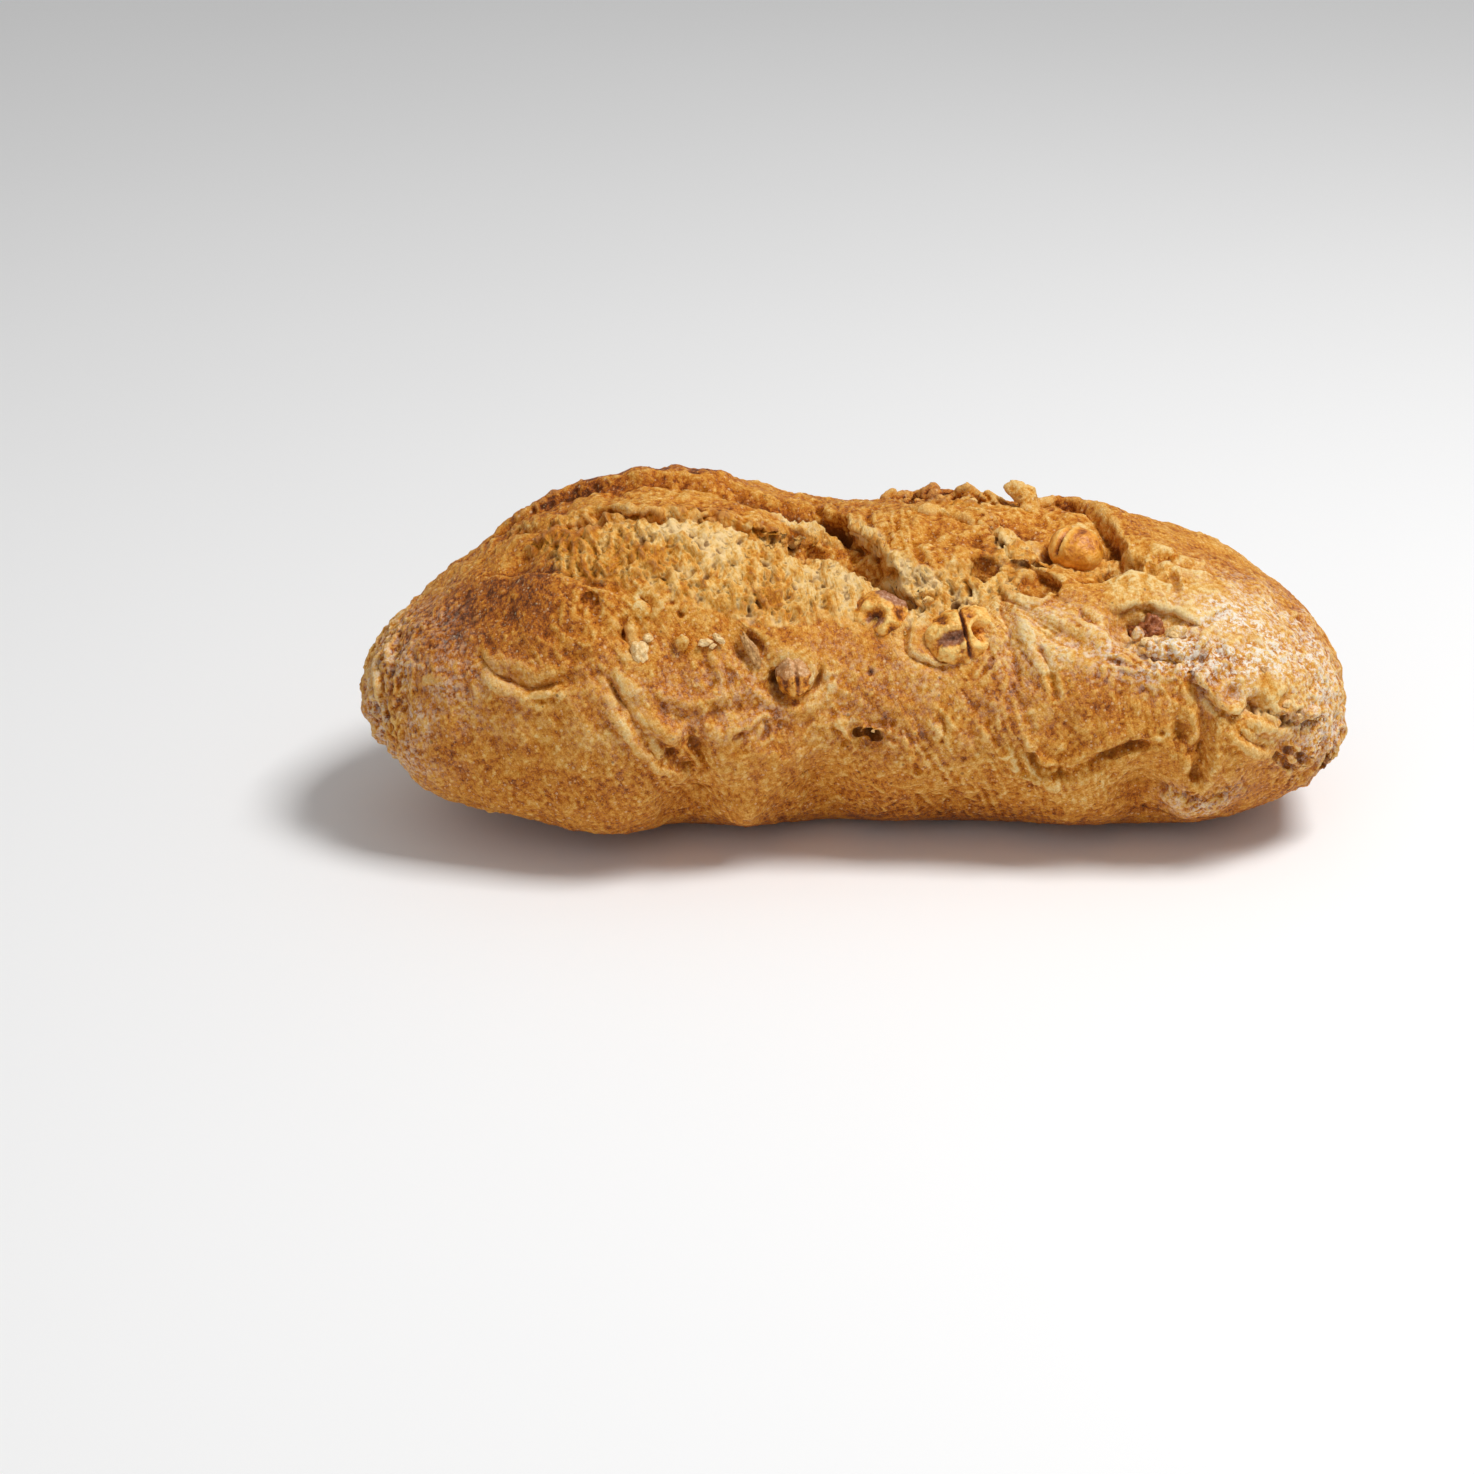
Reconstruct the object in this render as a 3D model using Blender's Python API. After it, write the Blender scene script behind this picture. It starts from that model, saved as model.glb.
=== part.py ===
"""A long loaf of walnut bread, resting on its flat underside, with walnut pieces set in its crust.

The loaf is one solid. Its plain form is a row of rounded sections along X. Strokes then press the gash,
the folds, the pits and the torn lips into that form, scraps of torn crust are fused onto it, and fine relief
roughens it.
A place on the crust is given by x, in millimetres from the middle of the loaf, and by girth, in degrees:
0 is the widest line of the front, 90 is the crest, 180 the widest line of the back and -90 the underside.
The front faces -Y, and lengths in this file are millimetres until an object is made.
"""

import bmesh
import bpy
import numpy as np

MM = 0.001

# Driving sizes
LENGTH = 238.0
WAIST = 32.0  # height of the widest line
BASE_SINK = 2.4  # how far the rounded underside would reach below the floor, had it not been pressed flat
OUTLINE = (  # x, height of the crest, y of the front, y of the back; the ends are rounded off later
    (-120, 72, -57, 42),
    (-90, 77.8, -55, 52),
    (-60, 84.3, -53, 56),
    (-30, 79, -47, 56),
    (0, 70.5, -42, 56),
    (30, 71, -42, 56),
    (60, 70, -45, 55),
    (90, 67, -49, 52),
    (120, 55, -55, 46),
)
LEFT_ROUNDING, RIGHT_ROUNDING = 2.6, 5.6  # powers: a higher one makes a blunter end
UPPER_ROUNDING, LOWER_ROUNDING = 2.15, 2.0  # powers of the section above and below the waist

RINGS, RING_POINTS = 300, 320
FUSE_VOXEL = 1.1
ROUNDED_TO = 4  # decimals of a millimetre
LOAF_TRIANGLES = 8600
KERNEL_DETAIL, KERNEL_TRIANGLES = 4, 640
SOCKET_TRIANGLES, SOCKET_GAP = 360, 0.55
FLAT_HEIGHT = 0.3  # what lies lower than this on the underside is pressed flat
CALM_HEIGHT = 12.0  # the underside is smoother than the crust up to this height,
CALMEST = 0.15  # and has this share of its unevenness at the bottom
LOBE_SIZE = 3.6  # of the folds of a walnut

CRUST_COLOUR, CRUST_ROUGHNESS = (0.50, 0.29, 0.11), 0.75
WALNUT_COLOUR, WALNUT_ROUGHNESS = (0.62, 0.38, 0.16), 0.55

# Soft swellings and dents: x, girth, reach along x, reach across, height
SWELLINGS = (
    (-64, -36, 20, 12, 3.6),  # the bulges that the loaf stands on along its front
    (-25, -34, 7, 10, 3.0),
    (53, -35, 11, 11, 1.5),
    (80, -34, 5, 7, 1.5),
    (-39, -26, 8, 15, -6.5),  # and the arches between them
    (-8, -26, 11, 16, -7.0),
    (28, -28, 18, 12, -2.5),
    (68, -26, 8, 12, -7.0),
    (-102, -28, 15, 14, 4.5),
    (99, -27, 10, 12, -3.5),
    (107, -36, 8, 10, 2.5),
    (-84, -34, 9, 10, 2.0),
    (89, 98, 12, 16, -2.0),
    (108, 88, 7, 14, 1.5),
    (-51, 104, 4, 7, 1.6),  # knobs along the dark back lip
    (-43, 103, 3.5, 6, 1.8),
    (-34, 102, 5, 8, 2.2),
    (-45, 60, 26, 16, 2.0),  # torn crumb bulging out of the gash
    (-72, 45, 16, 12, 1.5),
    (20, 92, 14, 12, 1.5),
    (52, 20, 24, 18, 1.6),
    (-48, 0, 26, 16, 1.5),
    (96, 40, 14, 14, 1.5),
    (-20, 150, 30, 20, 2.5),
    (50, 145, 22, 16, -2.0),
    (-80, 160, 20, 18, 2.0),
    (-113, -6, 6, 9, -2.0),
    (117, 10, 8, 10, -1.6),
    (116, -12, 7, 9, 2.0),
    (-15, 32, 6, 6.5, 2.6),  # crust stretched over the front kernel
    (3, -8, 30, 8, 1.0),
    (-88, 20, 18, 14, 1.2),
)

# Pits with steep sides: x, girth, radius, depth
PITS = (
    (-12, 76, 4.5, 3.5),  # the hollow under the ear
    (-3, 78, 5, 4.5),
    (3, 72, 4.5, 5.5),
    (9, 60, 4.0, 5.0),
    (20, 57, 7, 2.5),
    (53, 80, 11, 4.0),  # the hollow of the half kernel
    (64.5, 74, 3.4, 5.5),
    (42, 60, 4.6, 3.5),
    (31, 68, 3.4, 5.0),
    (40, 88, 4.5, 3.0),
    (64, 46, 5, 5.0),
    (71, 48, 5, 3.0),
    (-17, 22, 2.8, 3.5),
    (2.6, 4.6, 2.6, 1.4),
    (76, 8, 2.6, 2.2),
    (93, 20, 2.6, 2.6),
    (-57, 92, 3.5, 2.5),
    (-63, 78, 3, 2.5),
    (-79, 69, 5, 2.0),
    (-52, 36, 4, 2.0),
    (-26, 32, 3, 1.6),
    (-113, 2, 4, 1.6),
)

# Creases: a path of (x, girth), half width, depth, height of the swollen crust beside it
CREASES = (
    (((-87, 99), (-76, 86), (-65, 78), (-58, 75), (-46, 72)), 2.0, 1.6, 0.3),
    (((-26, 72), (-16, 70), (-4, 73), (2, 69), (7, 61), (12, 53)), 3.0, 3.0, 0.3),
    (((-85, 29), (-78, 24), (-73, 22), (-65, 24)), 1.5, 1.6, 0.8),
    (((-62, 25), (-54, 16), (-47, 6), (-39, -5), (-34, -13)), 1.8, 1.2, 0.9),
    (((-41, 9), (-37, 4), (-36, -4)), 2.6, 1.4, 0.5),
    (((-23, 22), (-15, 17), (-9, 21), (-7, 31)), 1.5, 1.6, 0.9),
    (((-51, 16), (-39, 11), (-30, 13), (-22, 15)), 2.0, 1.0, 1.0),
    (((34, 5), (39, -1), (42, -8), (50, -8), (61, 1), (68, 3)), 1.6, 1.0, 0.8),
    (((33, 49), (36, 35), (39, 20)), 2.0, 0.9, 0.7),
    (((36, 50), (45, 41), (58, 32)), 2.0, 0.9, 0.7),
    (((61, 38), (68, 34), (77, 34), (83, 39), (84, 48)), 1.8, 1.5, 1.2),
    (((80, 26), (81, 12), (81, -1), (79, -16)), 2.0, 1.6, 1.0),
    (((88, 14), (93, 6), (100, 2)), 1.6, 1.2, 1.2),
    (((73, 79), (80, 76), (88, 80)), 1.6, 1.2, 0.6),
    (((-106, 62), (-110, 40), (-111, 20), (-109, -4)), 1.6, 0.9, 0.6),
)

# Torn lips: a path of (x, girth) with the raised crust on its left, the rise of that crust, the drop on
# the other side, how far the lip hangs over, the width of the wall, and how far back the rise reaches
LIPS = {
    "ear_top": (
        ((-34, 97), (-27, 96), (-20, 94), (-12, 95), (-5, 94), (1, 90), (6, 81)),
        1.0, 3.4, 1.6, 5.0, 14.0,
    ),
    "ear": (
        ((-8, 95), (-3, 93), (1, 90), (5, 83), (9, 73), (12, 64), (15, 56), (18, 49)),
        1.6, 3.6, 3.6, 2.2, 15.0,
    ),
    "back": (
        ((-90, 106), (-79, 104), (-68, 102), (-57, 97), (-46, 95), (-36, 95), (-26, 92)),
        2.0, 1.8, 0.8, 3.0, 9.0,
    ),
    "second": (((-62, 84), (-54, 79), (-44, 76), (-32, 76), (-22, 74), (-13, 76)), 1.0, 4.0, 1.8, 1.6, 5.0),
    "patch": (((-52, 44), (-60, 49), (-70, 56), (-80, 64), (-90, 74)), 1.2, 0.8, 0.3, 2.0, 8.0),
    "crags": (((8, 114), (16, 117), (24, 112), (31, 106), (38, 101)), 3.0, 1.8, 0.5, 2.0, 6.0),
    "ledge": (((15, 90), (21, 91), (27, 88), (33, 84)), 1.0, 1.4, 1.0, 1.4, 5.0),
    "curl": (((30, 86), (34, 88), (37, 85), (39, 80)), 1.8, 1.8, 1.6, 1.2, 3.0),
    "rim": (((42, 104), (50, 110), (57, 106), (62, 94), (66, 80), (69, 70)), 2.8, 3.0, 1.4, 2.2, 7.0),
    "hollow": (((36, 70), (41, 70), (46, 66), (49, 60), (47, 54)), 1.4, 1.8, 1.4, 1.3, 4.0),
    "socket": (((14, 45), (12, 38), (14, 32), (22, 28)), 1.2, 1.6, 0.3, 1.2, 4.0),
    "fan": (((33, 31), (35, 40), (33, 50), (36, 58)), 1.2, 0.8, 0.3, 1.4, 5.0),
    "brow": (((58, 51), (63, 55), (70, 56), (77, 53), (82, 47)), 1.2, 1.2, 1.6, 1.4, 5.0),
    "right_flap": (((77, 34), (80, 26), (84, 20), (88, 18), (92, 22)), 1.4, 2.2, 1.6, 1.3, 5.0),
    "end_fold": (((93, 22), (98, 19), (104, 14), (112, 9)), 1.2, 1.6, 0.7, 1.4, 6.0),
    "end_left": (((-116, 22), (-113, 10), (-112, -2), (-109, -14)), 0.8, 1.2, 0.5, 1.4, 6.0),
}

LIP_RAGGED, LIP_RAGGED_SIZE = 1.0, 5.0  # how far the noise throws an edge sideways, and its waves
LIP_DROP_REACH, LIP_HANG_REACH = 0.45, 0.5  # shares of a lip's reach
PIT_STEEPNESS = 5  # power of a pit's walls
SWOLLEN_AT = 1.9  # half widths from a crease to the middle of the swollen crust
PATH_FADE, PATH_FADE_POWER = 5, 0.7  # how soon a stroke reaches its full height from its ends

# Horns of torn crust: stations of x, girth, height over the crust, half width, half thickness
HORNS = {
    "spike": (
        (44.5, 99, -4, 3.4, 2.6), (43.6, 100, -0.4, 2.0, 1.8), (42.8, 101, 2.0, 1.6, 1.2),
        (41.4, 102, 3.8, 1.9, 0.9), (39.4, 103, 4.8, 1.7, 0.7), (37.6, 103, 4.6, 0.9, 0.6),
    ),
    "spike_fork": ((42.6, 101, 0.5, 1.6, 1.3), (43.0, 102, 3.2, 1.7, 0.9), (43.8, 103, 5.4, 1.2, 0.6)),
    "crag": ((26, 112, -4, 5.0, 3.0), (26, 111, 0.5, 4.0, 2.0), (25, 110, 2.2, 2.4, 1.2)),
    "foot": (
        (74, -24, -4, 3.0, 3.0), (79, -27, -2.4, 3.6, 3.2),
        (85, -27, -2.2, 3.2, 2.8), (90, -25, -5, 2.2, 2.0),
    ),
    "chip": ((-41, 31, -2, 2.2, 1.8), (-41, 32, 0.6, 2.0, 1.6), (-40, 34, 1.6, 1.2, 1.0)),
}

# Unevenness of the crust and of the torn crumb: height, length of the waves, seed
CRUST_WAVES = ((1.3, 34, 1), (0.7, 15, 2), (0.35, 6, 3))
CRUMB_WAVES = ((1.2, 8, 4), (1.0, 4.5, 5))

# Torn crumb, which is rougher than the crust: x, girth, reach along x, reach across
TORN = (
    (-62, 72, 22, 10),
    (-38, 64, 26, 16),
    (-8, 60, 22, 16),
    (20, 74, 18, 20),
    (42, 74, 18, 18),
    (62, 72, 8, 9),
)

# Walnut pieces: x, girth, how far the middle lies under the plain crust, half lengths along x, up the crust
# and outwards, turn about the crust's normal in degrees, height of the folds as a share of the radius, and
# the hollows of the outer side: their place along the first two half lengths, half widths there, and depth
# as a share of the radius
KERNELS = {
    "walnut_half": (53.2, 81, 2.9, (6.8, 6.0, 5.6), -32, 0.05, ((-0.42, -0.1, 0.09, 1.3, 0.42),)),
    "walnut_broken": (
        24.5, 39.5, 3.0, (9.4, 7.2, 6.6), 12, 0.14,
        ((0.5, -0.15, 0.22, 0.36, 0.6), (-0.3, -0.25, 0.34, 0.26, 0.3), (0.06, 0.1, 0.05, 0.9, 0.3)),
    ),
    "walnut_gash": (5.6, 48.5, 3.4, (6.8, 6.2, 6.2), -10, 0.12, ((-0.2, -0.5, 0.4, 0.36, 0.5),)),
    "walnut_front": (-14.4, 24.5, 1.4, (4.0, 4.8, 4.4), 10, 0.16, ((-0.1, 0.0, 0.12, 1.2, 0.16),)),
    "walnut_pit": (
        68.2, 50, 5.4, (5.2, 3.2, 4.8), -30, 0.22,
        ((-0.3, -0.1, 0.24, 0.6, 0.3), (0.4, 0.0, 0.22, 0.4, 0.3)),
    ),
}


# ---------------------------------------------------------------- plain form


def smooth(table, column, x):
    """A smooth curve through one column of a table whose first column is x."""
    table = np.array(table, float)
    xs, ys = table[:, 0], table[:, column]
    slope = np.gradient(ys, xs)
    i = np.clip(np.searchsorted(xs, x) - 1, 0, len(xs) - 2)
    step = xs[i + 1] - xs[i]
    t = np.clip((x - xs[i]) / step, 0, 1)
    return (
        (1 + 2 * t) * (1 - t) ** 2 * ys[i]
        + t * (1 - t) ** 2 * step * slope[i]
        + t * t * (3 - 2 * t) * ys[i + 1]
        - t * t * (1 - t) * step * slope[i + 1]
    )


def crust(x, girth):
    """Points of the plain form at x and girth."""
    x, girth = np.broadcast_arrays(np.asarray(x, float), np.radians(girth))
    ratio = np.clip(np.abs(x) / (LENGTH / 2), 0, 1)
    end = np.sqrt(1 - ratio ** np.where(x < 0, LEFT_ROUNDING, RIGHT_ROUNDING))
    crest, front, back = (smooth(OUTLINE, column, x) for column in (1, 2, 3))
    c, s = np.cos(girth), np.sin(girth)
    power = 2 / np.where(s > 0, UPPER_ROUNDING, LOWER_ROUNDING)
    y = (front + back) / 2 - (back - front) / 2 * end * np.sign(c) * np.abs(c) ** power
    rise = np.where(s > 0, crest - WAIST, WAIST + BASE_SINK)
    return np.stack([x, y, WAIST + rise * end * np.sign(s) * np.abs(s) ** power], -1)


def crust_normal(x, girth):
    """Outward normals of the plain form."""
    along = crust(x + 0.5, girth) - crust(x - 0.5, girth)
    across = crust(x, girth + 1.0) - crust(x, girth - 1.0)
    return unit(np.cross(along, across))


def unit(vectors):
    return vectors / np.maximum(np.linalg.norm(vectors, axis=-1, keepdims=True), 1e-9)


def plain_loaf():
    """Points and faces of the plain form: rings of points along X, closed by a point at each end."""
    x = LENGTH / 2 * np.sin(np.linspace(-0.5, 0.5, RINGS + 2)[1:-1] * np.pi)
    girth = np.linspace(0, 360, RING_POINTS, endpoint=False)
    rings = crust(x[:, None], np.where(girth > 270, girth - 360, girth)[None, :]).reshape(-1, 3)
    tips = [rings[:RING_POINTS].mean(0), rings[-RING_POINTS:].mean(0)]
    tips[0][0], tips[1][0] = -LENGTH / 2, LENGTH / 2
    left, right = len(rings), len(rings) + 1
    faces = []
    for j in range(RING_POINTS):
        k = (j + 1) % RING_POINTS
        faces.append((left, j, k))
        for i in range(RINGS - 1):
            a = i * RING_POINTS
            faces.append((a + j, a + j + RING_POINTS, a + k + RING_POINTS, a + k))
        last = (RINGS - 1) * RING_POINTS
        faces.append((right, last + k, last + j))
    return np.vstack([rings, tips]), faces


# ---------------------------------------------------------------- strokes


def path_points(path, spacing=0.8):
    """A smooth path on the plain form through (x, girth) stations: its points and how far along each is."""
    t = np.arange(len(path))
    table = np.column_stack([t, np.array(path, float)])
    fine = np.linspace(0, len(path) - 1, 12 * len(path))
    points = crust(smooth(table, 1, fine), smooth(table, 2, fine))
    run = np.concatenate([[0], np.cumsum(np.linalg.norm(np.diff(points, axis=0), axis=1))])
    even = np.linspace(0, run[-1], max(4, int(run[-1] / spacing)))
    return np.column_stack([np.interp(even, run, points[:, i]) for i in range(3)]), even


def near_path(points, line, reach):
    """The points within reach of a line: their indices, distances to it, and its nearest stations."""
    low, high = line.min(0) - reach, line.max(0) + reach
    index = np.flatnonzero(((points > low) & (points < high)).all(1))
    gap = ((points[index, None] - line[None]) ** 2).sum(2)
    nearest = gap.argmin(1)
    distance = np.sqrt(gap[np.arange(len(index)), nearest])
    close = distance < reach
    return index[close], distance[close], nearest[close]


def fade(run):
    """1 along a path, easing to 0 at its ends."""
    share = run / run[-1]
    return np.clip(np.minimum(share, 1 - share) * PATH_FADE, 0, 1) ** PATH_FADE_POWER


def swell(points, x, girth, reach_x, reach_across, height):
    """How far a soft swelling or dent moves each point along its normal."""
    offset = points - crust(x, girth)
    across = (offset[:, 1] ** 2 + offset[:, 2] ** 2) / reach_across**2
    return height * np.exp(-((offset[:, 0] / reach_x) ** 2) - across)


def pit(points, x, girth, radius, depth):
    gap = np.linalg.norm(points - crust(x, girth), axis=1) / radius
    return -depth / (1 + gap**PIT_STEEPNESS)


def crease(points, path, width, depth, lips):
    """A groove with a raised lip on each side."""
    push = np.zeros(len(points))
    line, run = path_points(path)
    index, distance, nearest = near_path(points, line, 4 * width)
    groove = -depth * np.exp(-((distance / width) ** 2))
    swollen = lips * np.exp(-(((distance - SWOLLEN_AT * width) / width) ** 2))
    push[index] = (groove + swollen) * fade(run)[nearest]
    return push


def lip(points, normals, path, rise, drop, overhang, wall, reach):
    """How a torn edge of crust moves each point: up behind the edge, down before it, and out over it."""
    move = np.zeros_like(points)
    line, run = path_points(path)
    index, _, nearest = near_path(points, line, 2.2 * reach)
    along = unit(np.gradient(line, axis=0))[nearest]
    outward = normals[index]
    left = unit(np.cross(outward, along))
    offset = points[index] - line[nearest]
    side = (offset * left).sum(1) + LIP_RAGGED * noise(points[index], LIP_RAGGED_SIZE, 7)
    step = np.clip(side / wall + 0.5, 0, 1)
    step = step * step * (3 - 2 * step)
    behind, before = np.maximum(side, 0), np.minimum(side, 0)
    ends = np.exp(-(((offset * along).sum(1) / wall) ** 2)) * fade(run)[nearest]
    height = step * rise * np.exp(-((behind / reach) ** 2))
    height -= (1 - step) * drop * np.exp(-((before / (LIP_DROP_REACH * reach)) ** 2))
    shift = -overhang * step * np.exp(-((behind / (LIP_HANG_REACH * reach)) ** 2))
    move[index] = (outward * height[:, None] + left * shift[:, None]) * ends[:, None]
    return move


def pressed(points, normals):
    """The points after all the strokes."""
    push = sum(swell(points, *s) for s in SWELLINGS)
    push = push + sum(pit(points, *p) for p in PITS)
    for stroke in CREASES:
        push = push + crease(points, *stroke)
    moved = points + normals * push[:, None]
    for stroke in LIPS.values():
        moved = moved + lip(points, normals, *stroke)
    return moved


# ---------------------------------------------------------------- horns and noise


def tube(centres, sides, ups, faces_round=12):
    """A closed tube around centres, whose rings reach along sides and ups."""
    turn = np.linspace(0, 2 * np.pi, faces_round, endpoint=False)
    rings = centres[:, None] + sides[:, None] * np.cos(turn)[:, None] + ups[:, None] * np.sin(turn)[:, None]
    count = len(centres)
    first, last = range(faces_round), range((count - 1) * faces_round, count * faces_round)
    faces = [tuple(reversed(first)), tuple(last)]
    for i in range(count - 1):
        for k in range(faces_round):
            n = (k + 1) % faces_round
            row, above = i * faces_round, (i + 1) * faces_round
            faces.append((row + k, row + n, above + n, above + k))
    return rings.reshape(-1, 3), faces


def horn(stations):
    """A tapering scrap of crust through stations over the plain form."""
    table = np.column_stack([np.arange(len(stations)), np.array(stations, float)])
    fine = np.linspace(0, len(stations) - 1, 5 * len(stations))
    x, girth, height, half_width, half_thickness = (smooth(table, column, fine) for column in range(1, 6))
    centres = crust(x, girth) + crust_normal(x, girth) * height[:, None]
    along = unit(np.gradient(centres, axis=0))
    front = np.broadcast_to([0.0, -1.0, 0.5], along.shape)
    sides = unit(np.cross(along, front))
    ups = np.cross(sides, along)
    return tube(centres, sides * half_width[:, None], ups * half_thickness[:, None])


def noise(points, size, seed):
    """Smooth noise from about -1 to 1, whose waves are size millimetres long."""
    rng = np.random.default_rng(seed)
    order = rng.permutation(256)
    slopes = unit(rng.normal(size=(256, 3)))
    place = points / size
    cell = np.floor(place).astype(int)
    inside = place - cell
    ease = inside**3 * (inside * (inside * 6 - 15) + 10)
    total = np.zeros(len(points))
    for corner in np.ndindex(2, 2, 2):
        at = cell + corner
        key = order[(order[(order[at[:, 0] & 255] + at[:, 1]) & 255] + at[:, 2]) & 255]
        weight = np.prod(np.where(corner, ease, 1 - ease), axis=1)
        total += weight * ((inside - corner) * slopes[key]).sum(1)
    return 1.6 * total


def torn(points):
    """1 where the crumb is torn open, easing to 0 on whole crust."""
    whole = np.ones(len(points))
    for x, girth, reach_x, reach_across in TORN:
        offset = points - crust(x, girth)
        gap = (offset[:, 0] / reach_x) ** 2 + (offset[:, 1] ** 2 + offset[:, 2] ** 2) / reach_across**2
        whole *= 1 - np.exp(-(gap**2))
    return 1 - whole


def roughened(points, normals):
    """Fine unevenness of the whole crust, and coarser crags on the torn crumb."""
    push = sum(height * noise(points, size, seed) for height, size, seed in CRUST_WAVES)
    push += torn(points) * sum(height * noise(points, size, seed) for height, size, seed in CRUMB_WAVES)
    push *= np.clip(points[:, 2] / CALM_HEIGHT, CALMEST, 1)
    return points + normals * push[:, None]


# ---------------------------------------------------------------- Blender objects


def metres(points):
    """Points in metres, rounded so that each run gives the same ones."""
    return np.round(points, ROUNDED_TO) * MM


def make_object(name, points, faces):
    mesh = bpy.data.meshes.new(name)
    mesh.from_pydata(metres(points).tolist(), [], faces)
    mesh.update()
    made = bpy.data.objects.new(name, mesh)
    bpy.context.scene.collection.objects.link(made)
    return made


def points_of(mesh):
    flat = np.empty(len(mesh.vertices) * 3)
    mesh.vertices.foreach_get("co", flat)
    return flat.reshape(-1, 3) / MM


def normals_of(mesh):
    """Outward normals of the points, added up face by face in a fixed order."""
    mesh.calc_loop_triangles()
    corners = np.empty(len(mesh.loop_triangles) * 3, np.int32)
    mesh.loop_triangles.foreach_get("vertices", corners)
    corners = corners.reshape(-1, 3)
    a, b, c = (points_of(mesh)[corners[:, k]] for k in range(3))
    area = np.cross(b - a, c - a)
    total = np.zeros((len(mesh.vertices), 3))
    for k in range(3):
        for axis in range(3):
            total[:, axis] += np.bincount(corners[:, k], area[:, axis], len(total))
    return unit(total)


def move_points(mesh, points):
    mesh.vertices.foreach_set("co", metres(points).ravel())
    mesh.update()


def apply_modifiers(made):
    """Replaces the object's mesh with what its modifiers make of it."""
    graph = bpy.context.evaluated_depsgraph_get()
    result = bpy.data.meshes.new_from_object(made.evaluated_get(graph))
    made.modifiers.clear()
    old, made.data = made.data, result
    bpy.data.meshes.remove(old)


def fuse(made, others, voxel):
    """Fuses the other objects' shapes into one closed skin with this one."""
    with bpy.context.temp_override(
        active_object=made, object=made, selected_editable_objects=[made, *others]
    ):
        bpy.ops.object.join()
    remesh = made.modifiers.new("Fuse", "REMESH")
    remesh.mode = "VOXEL"
    remesh.voxel_size = voxel * MM
    apply_modifiers(made)


def simplify(made, triangles):
    """Fewer triangles, kept where the surface bends most."""
    made.data.calc_loop_triangles()
    decimate = made.modifiers.new("Simplify", "DECIMATE")
    decimate.ratio = triangles / len(made.data.loop_triangles)
    decimate.use_collapse_triangulate = True
    apply_modifiers(made)


def finish(made, colour, roughness):
    material = bpy.data.materials.new(made.name)
    material.use_nodes = True
    shader = material.node_tree.nodes["Principled BSDF"]
    shader.inputs["Base Color"].default_value = (*colour, 1)
    shader.inputs["Roughness"].default_value = roughness
    made.data.materials.clear()
    made.data.materials.append(material)
    made.data.shade_smooth()


def keep_largest(made):
    """Drops the loose scraps, and keeps the body with the most faces."""
    mesh = bmesh.new()
    mesh.from_mesh(made.data)
    seen, bodies = set(), []
    for start in mesh.verts:
        if start in seen:
            continue
        body, front = [start], [start]
        seen.add(start)
        while front:
            near = [edge.other_vert(vert) for vert in front for edge in vert.link_edges]
            front = [vert for vert in dict.fromkeys(near) if vert not in seen]
            seen.update(front)
            body.extend(front)
        bodies.append(body)
    bodies.sort(key=len)
    scraps = [vert for body in bodies[:-1] for vert in body]
    bmesh.ops.delete(mesh, geom=scraps, context="VERTS")
    mesh.to_mesh(made.data)
    mesh.free()


def make_loaf():
    points, faces = plain_loaf()
    loaf = make_object("loaf", points, faces)
    move_points(loaf.data, pressed(points, normals_of(loaf.data)))
    horns = [make_object(name, *horn(stations)) for name, stations in HORNS.items()]
    fuse(loaf, horns, FUSE_VOXEL)
    points = roughened(points_of(loaf.data), normals_of(loaf.data))
    points[:, 2] = np.maximum(points[:, 2], 0)
    move_points(loaf.data, points)
    keep_largest(loaf)
    simplify(loaf, LOAF_TRIANGLES)
    points = points_of(loaf.data)
    points[points[:, 2] < FLAT_HEIGHT, 2] = 0
    move_points(loaf.data, points)
    return loaf


# ---------------------------------------------------------------- walnuts


def kernel_frame(x, girth, depth, turn):
    """The middle of a kernel and its three directions: along X, up the crust and outwards."""
    outward = crust_normal(x, girth)
    along = unit(np.array([1.0, 0, 0]) - outward * outward[0])
    up = np.cross(outward, along)
    turn = np.radians(turn)
    along, up = along * np.cos(turn) + up * np.sin(turn), up * np.cos(turn) - along * np.sin(turn)
    return crust(x, girth) - outward * depth, np.array([along, up, outward])


def kernel(directions, half, seed, lobes, hollows, gap=0.0):
    """Points of a lumpy kernel in its own frame, one for each direction from its middle."""
    radius = 1 / np.linalg.norm(directions / half, axis=1)
    radius = radius * (1 + lobes * noise(directions * np.array(half), LOBE_SIZE, seed)) + gap
    flat = directions[:, :2] * radius[:, None] / half[:2]
    for across, up, half_across, half_up, depth in hollows:
        offset = ((flat - (across, up)) / (half_across, half_up)) ** 2
        radius = radius * (1 - depth * np.exp(-(offset.sum(1) ** 2)) * (directions[:, 2] > 0))
    return directions * radius[:, None]


def kernel_object(name, seed, gap=0.0, hollow=True):
    """A walnut piece in its place, or its hull without hollows and with a gap around it."""
    x, girth, depth, half, turn, lobes, hollows = KERNELS[name]
    ball = bmesh.new()
    bmesh.ops.create_icosphere(ball, subdivisions=KERNEL_DETAIL, radius=1)
    directions = unit(np.array([vert.co for vert in ball.verts]))
    faces = [[vert.index for vert in face.verts] for face in ball.faces]
    ball.free()
    middle, frame = kernel_frame(x, girth, depth, turn)
    points = kernel(directions, half, seed, lobes, hollows if hollow else (), gap)
    return make_object(name, middle + points @ frame, faces)


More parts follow.
